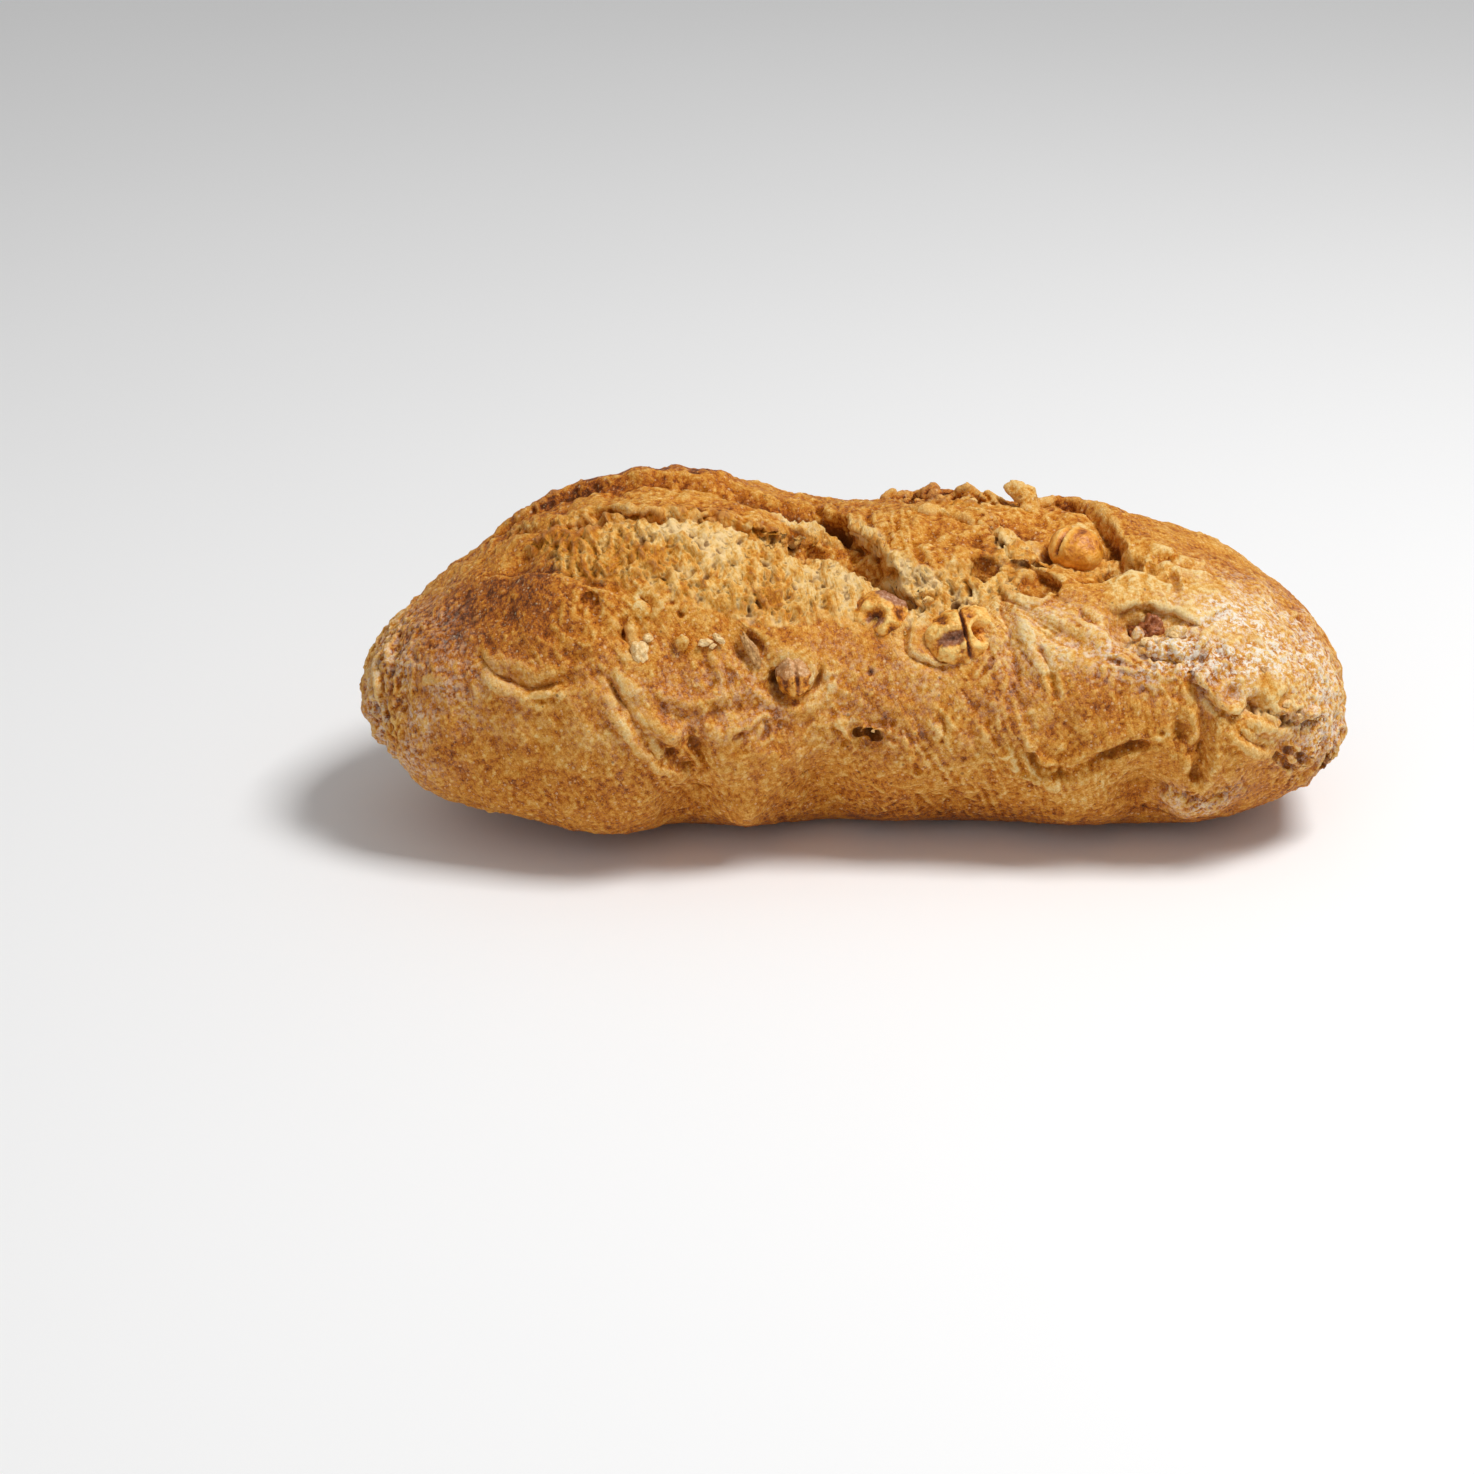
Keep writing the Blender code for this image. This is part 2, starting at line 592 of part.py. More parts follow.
def cut_socket(loaf, name, seed):
    """Cuts the room of a walnut piece into the loaf."""
    cutter = kernel_object(name, seed, SOCKET_GAP, hollow=False)
    simplify(cutter, SOCKET_TRIANGLES)
    cut = loaf.modifiers.new(name, "BOOLEAN")
    cut.operation = "DIFFERENCE"
    cut.solver = "EXACT"
    cut.object = cutter
    apply_modifiers(loaf)
    bpy.data.objects.remove(cutter)


# ---------------------------------------------------------------- the loaf and its pieces


def centre(loaf, walnuts):
    """Moves all of them so that the loaf's middle is over the origin."""
    points = points_of(loaf.data)
    middle = (points.min(0) + points.max(0)) / 2 * (1, 1, 0)
    for made in (loaf, *walnuts):
        move_points(made.data, points_of(made.data) - middle)


def main():
    for old in list(bpy.data.objects):
        bpy.data.objects.remove(old)
    loaf = make_loaf()
    walnuts = []
    for seed, name in enumerate(KERNELS, 20):
        cut_socket(loaf, name, seed)
        walnut = kernel_object(name, seed)
        simplify(walnut, KERNEL_TRIANGLES)
        finish(walnut, WALNUT_COLOUR, WALNUT_ROUGHNESS)
        walnuts.append(walnut)
    keep_largest(loaf)
    finish(loaf, CRUST_COLOUR, CRUST_ROUGHNESS)
    centre(loaf, walnuts)


main()
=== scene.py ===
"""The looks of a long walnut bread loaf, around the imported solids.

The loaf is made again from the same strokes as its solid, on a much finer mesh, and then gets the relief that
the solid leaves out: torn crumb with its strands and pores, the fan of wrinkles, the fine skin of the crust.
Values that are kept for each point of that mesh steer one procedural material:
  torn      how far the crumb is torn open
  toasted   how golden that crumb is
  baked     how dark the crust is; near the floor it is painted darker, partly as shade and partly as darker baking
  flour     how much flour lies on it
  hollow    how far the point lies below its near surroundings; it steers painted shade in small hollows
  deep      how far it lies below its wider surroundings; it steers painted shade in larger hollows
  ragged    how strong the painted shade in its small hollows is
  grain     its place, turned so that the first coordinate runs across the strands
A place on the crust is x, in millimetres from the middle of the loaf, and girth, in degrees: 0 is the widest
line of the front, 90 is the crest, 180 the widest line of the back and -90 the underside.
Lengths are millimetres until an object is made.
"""

import bmesh
import bpy
import numpy as np
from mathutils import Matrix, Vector


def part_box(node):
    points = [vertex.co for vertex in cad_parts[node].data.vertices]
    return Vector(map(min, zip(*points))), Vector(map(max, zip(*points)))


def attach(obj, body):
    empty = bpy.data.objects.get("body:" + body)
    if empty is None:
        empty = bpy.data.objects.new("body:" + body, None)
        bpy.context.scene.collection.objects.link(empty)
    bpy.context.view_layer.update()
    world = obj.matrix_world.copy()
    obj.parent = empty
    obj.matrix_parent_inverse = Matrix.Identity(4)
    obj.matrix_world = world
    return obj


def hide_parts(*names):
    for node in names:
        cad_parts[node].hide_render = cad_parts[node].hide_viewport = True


MM = 0.001

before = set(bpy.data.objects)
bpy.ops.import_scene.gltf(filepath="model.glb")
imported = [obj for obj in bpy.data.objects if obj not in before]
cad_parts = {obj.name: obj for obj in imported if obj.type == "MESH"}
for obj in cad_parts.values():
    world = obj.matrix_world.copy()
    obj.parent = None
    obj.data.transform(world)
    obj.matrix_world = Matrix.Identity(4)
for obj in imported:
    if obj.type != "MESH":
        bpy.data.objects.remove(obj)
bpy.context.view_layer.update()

# ---------------------------------------------------------------- sizes shared with the solids

# Driving sizes
LENGTH = 238.0
WAIST = 32.0  # height of the widest line
BASE_SINK = 2.4  # how far the rounded underside would reach below the floor, had it not been pressed flat
OUTLINE = (  # x, height of the crest, y of the front, y of the back; the ends are rounded off later
    (-120, 72, -57, 42),
    (-90, 77.8, -55, 52),
    (-60, 84.3, -53, 56),
    (-30, 79, -47, 56),
    (0, 70.5, -42, 56),
    (30, 71, -42, 56),
    (60, 70, -45, 55),
    (90, 67, -49, 52),
    (120, 55, -55, 46),
)
LEFT_ROUNDING, RIGHT_ROUNDING = 2.6, 5.6  # powers: a higher one makes a blunter end
UPPER_ROUNDING, LOWER_ROUNDING = 2.15, 2.0  # powers of the section above and below the waist

FLAT_HEIGHT = 0.3  # what lies lower than this on the underside is pressed flat
CALM_HEIGHT = 12.0  # the underside is smoother than the crust up to this height,
CALMEST = 0.15  # and has this share of its unevenness at the bottom
LOBE_SIZE = 3.6  # of the folds of a walnut

# Soft swellings and dents: x, girth, reach along x, reach across, height
SWELLINGS = (
    (-64, -36, 20, 12, 3.6),  # the bulges that the loaf stands on along its front
    (-25, -34, 7, 10, 3.0),
    (53, -35, 11, 11, 1.5),
    (80, -34, 5, 7, 1.5),
    (-39, -26, 8, 15, -6.5),  # and the arches between them
    (-8, -26, 11, 16, -7.0),
    (28, -28, 18, 12, -2.5),
    (68, -26, 8, 12, -7.0),
    (-102, -28, 15, 14, 4.5),
    (99, -27, 10, 12, -3.5),
    (107, -36, 8, 10, 2.5),
    (-84, -34, 9, 10, 2.0),
    (89, 98, 12, 16, -2.0),
    (108, 88, 7, 14, 1.5),
    (-51, 104, 4, 7, 1.6),  # knobs along the dark back lip
    (-43, 103, 3.5, 6, 1.8),
    (-34, 102, 5, 8, 2.2),
    (-45, 60, 26, 16, 2.0),  # torn crumb bulging out of the gash
    (-72, 45, 16, 12, 1.5),
    (20, 92, 14, 12, 1.5),
    (52, 20, 24, 18, 1.6),
    (-48, 0, 26, 16, 1.5),
    (96, 40, 14, 14, 1.5),
    (-20, 150, 30, 20, 2.5),
    (50, 145, 22, 16, -2.0),
    (-80, 160, 20, 18, 2.0),
    (-113, -6, 6, 9, -2.0),
    (117, 10, 8, 10, -1.6),
    (116, -12, 7, 9, 2.0),
    (-15, 32, 6, 6.5, 2.6),  # crust stretched over the front kernel
    (3, -8, 30, 8, 1.0),
    (-88, 20, 18, 14, 1.2),
)

# Pits with steep sides: x, girth, radius, depth
PITS = (
    (-12, 76, 4.5, 3.5),  # the hollow under the ear
    (-3, 78, 5, 4.5),
    (3, 72, 4.5, 5.5),
    (9, 60, 4.0, 5.0),
    (20, 57, 7, 2.5),
    (53, 80, 11, 4.0),  # the hollow of the half kernel
    (64.5, 74, 3.4, 5.5),
    (42, 60, 4.6, 3.5),
    (31, 68, 3.4, 5.0),
    (40, 88, 4.5, 3.0),
    (64, 46, 5, 5.0),
    (71, 48, 5, 3.0),
    (-17, 22, 2.8, 3.5),
    (2.6, 4.6, 2.6, 1.4),
    (76, 8, 2.6, 2.2),
    (93, 20, 2.6, 2.6),
    (-57, 92, 3.5, 2.5),
    (-63, 78, 3, 2.5),
    (-79, 69, 5, 2.0),
    (-52, 36, 4, 2.0),
    (-26, 32, 3, 1.6),
    (-113, 2, 4, 1.6),
)

# Creases: a path of (x, girth), half width, depth, height of the swollen crust beside it
CREASES = (
    (((-87, 99), (-76, 86), (-65, 78), (-58, 75), (-46, 72)), 2.0, 1.6, 0.3),
    (((-26, 72), (-16, 70), (-4, 73), (2, 69), (7, 61), (12, 53)), 3.0, 3.0, 0.3),
    (((-85, 29), (-78, 24), (-73, 22), (-65, 24)), 1.5, 1.6, 0.8),
    (((-62, 25), (-54, 16), (-47, 6), (-39, -5), (-34, -13)), 1.8, 1.2, 0.9),
    (((-41, 9), (-37, 4), (-36, -4)), 2.6, 1.4, 0.5),
    (((-23, 22), (-15, 17), (-9, 21), (-7, 31)), 1.5, 1.6, 0.9),
    (((-51, 16), (-39, 11), (-30, 13), (-22, 15)), 2.0, 1.0, 1.0),
    (((34, 5), (39, -1), (42, -8), (50, -8), (61, 1), (68, 3)), 1.6, 1.0, 0.8),
    (((33, 49), (36, 35), (39, 20)), 2.0, 0.9, 0.7),
    (((36, 50), (45, 41), (58, 32)), 2.0, 0.9, 0.7),
    (((61, 38), (68, 34), (77, 34), (83, 39), (84, 48)), 1.8, 1.5, 1.2),
    (((80, 26), (81, 12), (81, -1), (79, -16)), 2.0, 1.6, 1.0),
    (((88, 14), (93, 6), (100, 2)), 1.6, 1.2, 1.2),
    (((73, 79), (80, 76), (88, 80)), 1.6, 1.2, 0.6),
    (((-106, 62), (-110, 40), (-111, 20), (-109, -4)), 1.6, 0.9, 0.6),
)

# Torn lips: a path of (x, girth) with the raised crust on its left, the rise of that crust, the drop on
# the other side, how far the lip hangs over, the width of the wall, and how far back the rise reaches
LIPS = {
    "ear_top": (
        ((-34, 97), (-27, 96), (-20, 94), (-12, 95), (-5, 94), (1, 90), (6, 81)),
        1.0, 3.4, 1.6, 5.0, 14.0,
    ),
    "ear": (
        ((-8, 95), (-3, 93), (1, 90), (5, 83), (9, 73), (12, 64), (15, 56), (18, 49)),
        1.6, 3.6, 3.6, 2.2, 15.0,
    ),
    "back": (
        ((-90, 106), (-79, 104), (-68, 102), (-57, 97), (-46, 95), (-36, 95), (-26, 92)),
        2.0, 1.8, 0.8, 3.0, 9.0,
    ),
    "second": (((-62, 84), (-54, 79), (-44, 76), (-32, 76), (-22, 74), (-13, 76)), 1.0, 4.0, 1.8, 1.6, 5.0),
    "patch": (((-52, 44), (-60, 49), (-70, 56), (-80, 64), (-90, 74)), 1.2, 0.8, 0.3, 2.0, 8.0),
    "crags": (((8, 114), (16, 117), (24, 112), (31, 106), (38, 101)), 3.0, 1.8, 0.5, 2.0, 6.0),
    "ledge": (((15, 90), (21, 91), (27, 88), (33, 84)), 1.0, 1.4, 1.0, 1.4, 5.0),
    "curl": (((30, 86), (34, 88), (37, 85), (39, 80)), 1.8, 1.8, 1.6, 1.2, 3.0),
    "rim": (((42, 104), (50, 110), (57, 106), (62, 94), (66, 80), (69, 70)), 2.8, 3.0, 1.4, 2.2, 7.0),
    "hollow": (((36, 70), (41, 70), (46, 66), (49, 60), (47, 54)), 1.4, 1.8, 1.4, 1.3, 4.0),
    "socket": (((14, 45), (12, 38), (14, 32), (22, 28)), 1.2, 1.6, 0.3, 1.2, 4.0),
    "fan": (((33, 31), (35, 40), (33, 50), (36, 58)), 1.2, 0.8, 0.3, 1.4, 5.0),
    "brow": (((58, 51), (63, 55), (70, 56), (77, 53), (82, 47)), 1.2, 1.2, 1.6, 1.4, 5.0),
    "right_flap": (((77, 34), (80, 26), (84, 20), (88, 18), (92, 22)), 1.4, 2.2, 1.6, 1.3, 5.0),
    "end_fold": (((93, 22), (98, 19), (104, 14), (112, 9)), 1.2, 1.6, 0.7, 1.4, 6.0),
    "end_left": (((-116, 22), (-113, 10), (-112, -2), (-109, -14)), 0.8, 1.2, 0.5, 1.4, 6.0),
}

LIP_RAGGED, LIP_RAGGED_SIZE = 1.0, 5.0  # how far the noise throws an edge sideways, and its waves
LIP_DROP_REACH, LIP_HANG_REACH = 0.45, 0.5  # shares of a lip's reach
PIT_STEEPNESS = 5  # power of a pit's walls
SWOLLEN_AT = 1.9  # half widths from a crease to the middle of the swollen crust
PATH_FADE, PATH_FADE_POWER = 5, 0.7  # how soon a stroke reaches its full height from its ends

# Horns of torn crust: stations of x, girth, height over the crust, half width, half thickness
HORNS = {
    "spike": (
        (44.5, 99, -4, 3.4, 2.6), (43.6, 100, -0.4, 2.0, 1.8), (42.8, 101, 2.0, 1.6, 1.2),
        (41.4, 102, 3.8, 1.9, 0.9), (39.4, 103, 4.8, 1.7, 0.7), (37.6, 103, 4.6, 0.9, 0.6),
    ),
    "spike_fork": ((42.6, 101, 0.5, 1.6, 1.3), (43.0, 102, 3.2, 1.7, 0.9), (43.8, 103, 5.4, 1.2, 0.6)),
    "crag": ((26, 112, -4, 5.0, 3.0), (26, 111, 0.5, 4.0, 2.0), (25, 110, 2.2, 2.4, 1.2)),
    "foot": (
        (74, -24, -4, 3.0, 3.0), (79, -27, -2.4, 3.6, 3.2),
        (85, -27, -2.2, 3.2, 2.8), (90, -25, -5, 2.2, 2.0),
    ),
    "chip": ((-41, 31, -2, 2.2, 1.8), (-41, 32, 0.6, 2.0, 1.6), (-40, 34, 1.6, 1.2, 1.0)),
}

# Unevenness of the crust and of the torn crumb: height, length of the waves, seed
CRUST_WAVES = ((1.3, 34, 1), (0.7, 15, 2), (0.35, 6, 3))
CRUMB_WAVES = ((1.2, 8, 4), (1.0, 4.5, 5))

# Rows of ragged scraps along torn edges: path of (x, girth), how many, height over the crust, half width
CRAG_TOP = ((9, 115), (16, 117), (24, 113), (31, 107), (37, 102))
SCRAPS = (
    (CRAG_TOP, 14, 3.6, 2.2),
    (CRAG_TOP, 14, 2.4, 1.2),
    (((13, 110), (22, 108), (30, 101), (36, 97)), 9, 1.8, 1.4),
    (((15, 90), (21, 91), (27, 88), (33, 84)), 8, 1.0, 1.1),
    (((-52, 77), (-44, 75.5), (-32, 75.5), (-22, 73.5), (-12, 75), (-2, 80)), 16, 0.5, 0.5),
    (((5, 83), (9, 73), (12, 64), (15, 56), (18, 49)), 10, 0.8, 0.8),
    (((36, 60), (42, 53), (48, 55), (50, 62)), 8, 0.9, 0.8),
    (((59, 52), (64, 56), (71, 57), (78, 54)), 8, 0.4, 0.6),
    (((62, 44), (66, 43), (72, 44), (77, 46)), 7, 1.2, 0.7),
    (((93, 21), (98, 18), (104, 14), (110, 11)), 7, 0.9, 0.9),
    (((80, 27), (84, 21), (88, 19)), 4, 0.9, 0.8),
    (((-1, 7), (3, 8), (6, 6)), 8, 1.3, 0.9),
)

# Torn crumb that is coarser than the crust: x, girth, reach along x, reach across
TORN = (
    (-62, 72, 22, 10),
    (-38, 64, 26, 16),
    (-8, 60, 22, 16),
    (20, 74, 18, 20),
    (42, 74, 18, 18),
    (62, 72, 8, 9),
)

# Walnut pieces: x, girth, how far the middle lies under the plain crust, half lengths along x, up the crust
# and outwards, turn about the crust's normal in degrees, height of the folds as a share of the radius, and
# the hollows of the outer side: their place along the first two half lengths, half widths there, and depth
# as a share of the radius
KERNELS = {
    "walnut_half": (53.2, 81, 2.9, (6.8, 6.0, 5.6), -32, 0.05, ((-0.42, -0.1, 0.09, 1.3, 0.42),)),
    "walnut_broken": (
        24.5, 39.5, 3.0, (9.4, 7.2, 6.6), 12, 0.14,
        ((0.5, -0.15, 0.22, 0.36, 0.6), (-0.3, -0.25, 0.34, 0.26, 0.3), (0.06, 0.1, 0.05, 0.9, 0.3)),
    ),
    "walnut_gash": (5.6, 48.5, 3.4, (6.8, 6.2, 6.2), -10, 0.12, ((-0.2, -0.5, 0.4, 0.36, 0.5),)),
    "walnut_front": (-14.4, 24.5, 1.4, (4.0, 4.8, 4.4), 10, 0.16, ((-0.1, 0.0, 0.12, 1.2, 0.16),)),
    "walnut_pit": (
        68.2, 50, 5.4, (5.2, 3.2, 4.8), -30, 0.22,
        ((-0.3, -0.1, 0.24, 0.6, 0.3), (0.4, 0.0, 0.22, 0.4, 0.3)),
    ),
}

# ---------------------------------------------------------------- sizes of the fine surface

RINGS, RING_POINTS = 760, 660
FUSE_VOXEL = 0.46
SLICES = 5  # of the skin, so that none has too many faces
KERNEL_DETAIL, GRAIN_DETAIL = 5, 4  # subdivisions of the balls
ROUNDED_TO = 4  # decimals of a millimetre
FINE_CALMEST = 0.25  # share of the fine relief at the bottom
SLENDER_REACH = 1.6
SLENDER, STURDY = -1.0, -0.25  # hollowness over that reach of scraps that are too thin for relief, or just not
HOLLOW_REACH, DEEP_REACH = 0.8, 3.0  # of the surroundings of a small and of a large hollow
WALL_LESS_SHADE = 1.6  # how much less painted shade the wall under the ear gets
SOLE_SHADE_AND_BAKE, SOLE_HEIGHTS = 0.22, (22, 4)  # how much darker the crust is painted near the floor, partly as shade and partly as darker baking, and where that starts
SCRAP_SEED, KERNEL_SEED, GRAIN_SEED = 90, 20, 300

# Fine creases, as above; a depth below 0 makes a thin ridge
FINE_CREASES = (
    (((-55, 78), (-49, 75.5), (-42, 74.5), (-36, 74.5), (-31, 74), (-26, 73.5)), 1.0, 3.6, 0),
    (((-70, 82), (-65, 80), (-60, 79)), 1.0, 2.4, 0.2),
    (((-52, 73.8), (-48, 72), (-45, 72.6), (-41, 72.6), (-38, 72.6), (-34, 72), (-31, 71)), 1.0, 3.2, 0.3),
    (((-26, 70.8), (-22.5, 69.6), (-19, 68.4), (-15.5, 67.8)), 1.1, 2.6, 0.2),
    (((3, 71.4), (5, 64.8), (8.2, 58.2), (10.7, 52.2)), 1.7, 4.2, 0.3),
    (((-28.6, 71.4), (-23.7, 72.6), (-18.8, 71.4), (-13.2, 75.6), (-8.2, 78), (-1.3, 82.8)), 1.0, -1.4, 0),
    (((33.5, 57.6), (37, 52.2), (41, 50.4), (44.8, 52.8), (46, 58.2)), 1.0, -1.6, 0),
    (
        ((46, 73), (48, 83.4), (53.4, 90), (58.4, 87.6), (61, 79.8), (59.5, 69), (55, 64.2), (50, 62.4)),
        1.2, 1.8, 0.4,
    ),
    (((31.7, 82.8), (34, 81.6), (36, 77.4)), 1.1, 2.4, 0.3),
    (((30.5, 82.8), (32.3, 86.4), (35.3, 86.4), (37.7, 81.6)), 0.9, -1.4, 0),
    (
        ((-87.9, 36), (-85.3, 30.6), (-83.1, 26.4), (-79.4, 23.4), (-76, 21.6), (-72.6, 21.6), (-70.5, 23.4)),
        0.9, 1.8, 0.7,
    ),
    (((-81.2, 21.6), (-77, 19.8), (-72.6, 17.4), (-68.5, 17.4)), 1, 0.7, 0.5),
    (
        (
            (-59.5, 26.4), (-56.7, 21), (-55.6, 16.8), (-52.8, 12),
            (-50, 6.6), (-47.1, 1.8), (-43, -3), (-40.1, -10.2),
        ),
        1, 1, 0.6,
    ),
    (((-60, 16.8), (-56.7, 14.4), (-53.9, 10.8), (-50.5, 4.8), (-47.7, 1.8)), 0.8, 0.8, 0.5),
    (((-63.2, 39), (-63.8, 43.2), (-62.2, 45.6), (-59.5, 43.8)), 0.8, 0.8, 0.4),
    (((-112, 74.4), (-112.5, 48.6), (-111.8, 21), (-110.4, 1.8)), 1, 1.2, 0.8),
    (((-114.7, 67.8), (-113.9, 31.2), (-112.9, 4.8), (-111.6, -20.4)), 1, 1.2, 0.8),
    (((-108, 80.4), (-108.8, 58.8), (-109.1, 35.4)), 0.8, 0.8, 0.6),
    (((-102.3, 25.8), (-100, 28.2), (-96.3, 27.6), (-93.7, 25.2)), 0.7, -0.7, 0),
    (((-55, 40.2), (-54.5, 35.4), (-53.4, 31.2), (-50.5, 28.2)), 1.1, 1.8, 0.6),
    (((-26.2, 36.6), (-24.3, 34.8), (-22.5, 32.4), (-21.9, 28.8)), 0.8, 1.4, 0.5),
    (((-36.5, 28.8), (-34.7, 24), (-33.5, 19.2)), 1.4, 1, 0.5),
    (((-31.1, 28.8), (-28.6, 25.2), (-25.6, 20.4), (-23.1, 17.4)), 1.2, -0.9, 0),
    (
        ((-30.5, 5.4), (-28.6, 7.8), (-25.6, 9), (-23.1, 11.4), (-21.9, 12), (-18.8, 10.8), (-14.4, 10.2)),
        0.6, -0.9, 0,
    ),
    (((-29.8, 4.8), (-28, 6.6), (-24.9, 7.2), (-22.5, 10.2)), 0.9, 0.9, 0.2),
    (((-23.1, 10.8), (-21.3, 9), (-21.3, 6), (-23.1, 4.8)), 0.8, 0.9, 0.3),
    (((-48.8, 7.2), (-45.9, 1.8), (-42.4, -3), (-40.1, -9.6), (-38.3, -11.4)), 1.1, -1, 0),
    (((-45.3, 4.8), (-42.4, 0.6), (-40.1, -4.2), (-38.3, -7.2)), 1.6, 1, 0.2),
    (((-36.5, -10.8), (-35.3, -4.2), (-35.9, -0), (-37.1, 3)), 0.8, 0.8, 0.5),
    (((-53.4, 15), (-50, 11.4), (-45.9, 9), (-41.2, 6.6), (-38.3, 6.6)), 1.3, -0.8, 0),
    (((-8.8, 31), (-6.9, 27), (-7.5, 23), (-9.4, 19), (-12, 17), (-16, 17.4), (-19, 20)), 0.8, -1, 0),
    (((-9.4, 29), (-8.8, 25), (-10.4, 21), (-12.5, 19)), 0.9, 1.2, 0.2),
    (((-8.2, 21), (-6.9, 22.8), (-5, 24.6)), 0.6, 0.8, 0.4),
    (((-5, 10.8), (-2.5, 6), (-1.3, 1.8), (0.6, -0.6)), 1, -0.9, 0),
    (((-6.3, 9), (-3.8, 4.2), (-1.9, -0)), 0.8, 0.8, 0.2),
    (((-0.4, 4.6), (1.6, 5.8), (3.4, 5.4), (5.2, 3.0)), 0.7, 2.4, 0.8),
    (((6.9, 4.2), (7.5, 7.2), (6.9, 10.8)), 0.6, -1, 0),
    (((-37.1, -18.6), (-34.1, -24), (-28.6, -25.2)), 0.8, -0.8, 0),
    (((-26.2, 48.6), (-23.1, 49.8), (-21.3, 46.8), (-19.4, 43.2)), 0.9, -1, 0),
    (((-24.3, 47.4), (-22.5, 45), (-20.6, 42)), 0.9, 1.2, 0.2),
    (((-51.1, 45.6), (-48.8, 43.8), (-47.1, 40.8)), 1, 1.6, 0.5),
    (((41.8, 37.2), (43.6, 31.2), (45.3, 25.2), (46.5, 16.8)), 0.8, 1, 0.5),
    (((51.7, 50.4), (53.4, 46.2), (56.7, 43.8)), 0.9, 0.9, 0.5),
    (((58.9, 30), (57.8, 23.4)), 0.7, 0.6, 0.4),
    (((28, 22.2), (30.5, 27.6), (32.3, 31.2)), 0.7, 0.7, 0.4),
    (((37.1, 5.4), (38.9, 1.2), (40.6, -1.2), (41.8, -5.4), (44.2, -7.2), (47.1, -6)), 0.9, 1.2, 0.6),
    (((32.9, -6.6), (35.9, -10.2), (39.5, -11.4), (43, -12.6), (45.9, -14.4), (48.8, -15.6)), 0.8, -0.9, 0),
    (((56.2, -0.6), (59.5, 0.6), (63.2, 2.4), (67.5, 3), (71.5, 4.2)), 0.8, 1, 0.5),
    (((11.9, 7.2), (13.2, 1.2), (15.7, -3.6)), 0.7, 0.7, 0.4),
    (((19.4, 11.4), (20.6, 6), (18.8, 1.2)), 0.7, 0.6, 0.4),
    (((11.9, -10.2), (14.4, -12), (16.9, -11.4)), 0.7, -0.7, 0),
    (((27.4, 6), (28.6, 1.8), (28.6, -2.4)), 1.2, 0.9, 0.3),
    (((55.6, 36), (60.5, 34.8), (64.8, 32.4), (68, 30.6), (72.6, 28.8), (77, 28.2)), 0.7, 1, 0.7),
    (((56.7, 32.4), (61.6, 31.2), (65.9, 28.8), (70.5, 27), (76, 25.8)), 0.7, 0.8, 0.6),
    (((60, 28.8), (66.4, 26.4), (74, 24)), 0.6, 0.6, 0.5),
    (((56.2, 39), (60, 37.2), (64.3, 35.4), (70, 34.2), (76, 34.2)), 0.7, 1, 0.7),
    (((76.5, 40.8), (78.4, 42), (80.3, 45.6), (81.7, 49.2), (84.9, 54), (89.2, 60.6)), 0.8, 0.8, 0.4),
    (((81.2, 24.6), (82.6, 21.6), (84.4, 18), (87.5, 16.8)), 1, 1.8, 0.5),
    (((78.9, 30.6), (80.8, 26.4), (82.1, 22.8), (84.4, 19.8), (87, 18.6), (88.8, 21)), 0.7, -1.2, 0),
    (((88.3, 13.2), (90.4, 9), (93.3, 5.4), (96.7, 3), (100, 1.8)), 0.9, -1.2, 0),
    (((87.9, 10.8), (90.4, 6), (93.7, 2.4), (97.1, 0.6)), 0.9, 1, 0.2),
    (((97.8, -1.8), (100.6, -8.4), (103, -16.8), (106, -22)), 0.7, 1.0, 0.7),
    (((100.3, -1.2), (103.9, -6.6), (107, -16), (109, -20)), 0.7, 1.0, 0.7),
    (((110.4, -30.6), (112.9, -28.8), (113.5, -14.4)), 0.7, 1, 0.8),
    (((79.8, 19.2), (81.2, 12), (80.8, 3.6), (80.8, -2.4), (79.4, -12)), 1.3, 1.3, 0.7),
    (((101, 21), (103.6, 15.6), (107.2, 12.6), (111.1, 13.8)), 0.9, 0.9, 0.5),
    (((69.5, 69.6), (73.1, 76.8), (77.9, 81)), 1.2, 1.2, 0.5),
    (((75, 73.8), (76, 66), (75, 60)), 0.8, 0.8, 0.6),
    (((66.4, 58.2), (68.5, 54.6), (72.1, 53.4)), 0.8, 0.8, 0.5),
    (((95.6, 48), (98.2, 45.6), (100.3, 50.4)), 0.8, 0.6, 0.5),
    (((84, 41.4), (86.2, 36.6), (90.4, 36)), 0.8, 0.6, 0.4),
)

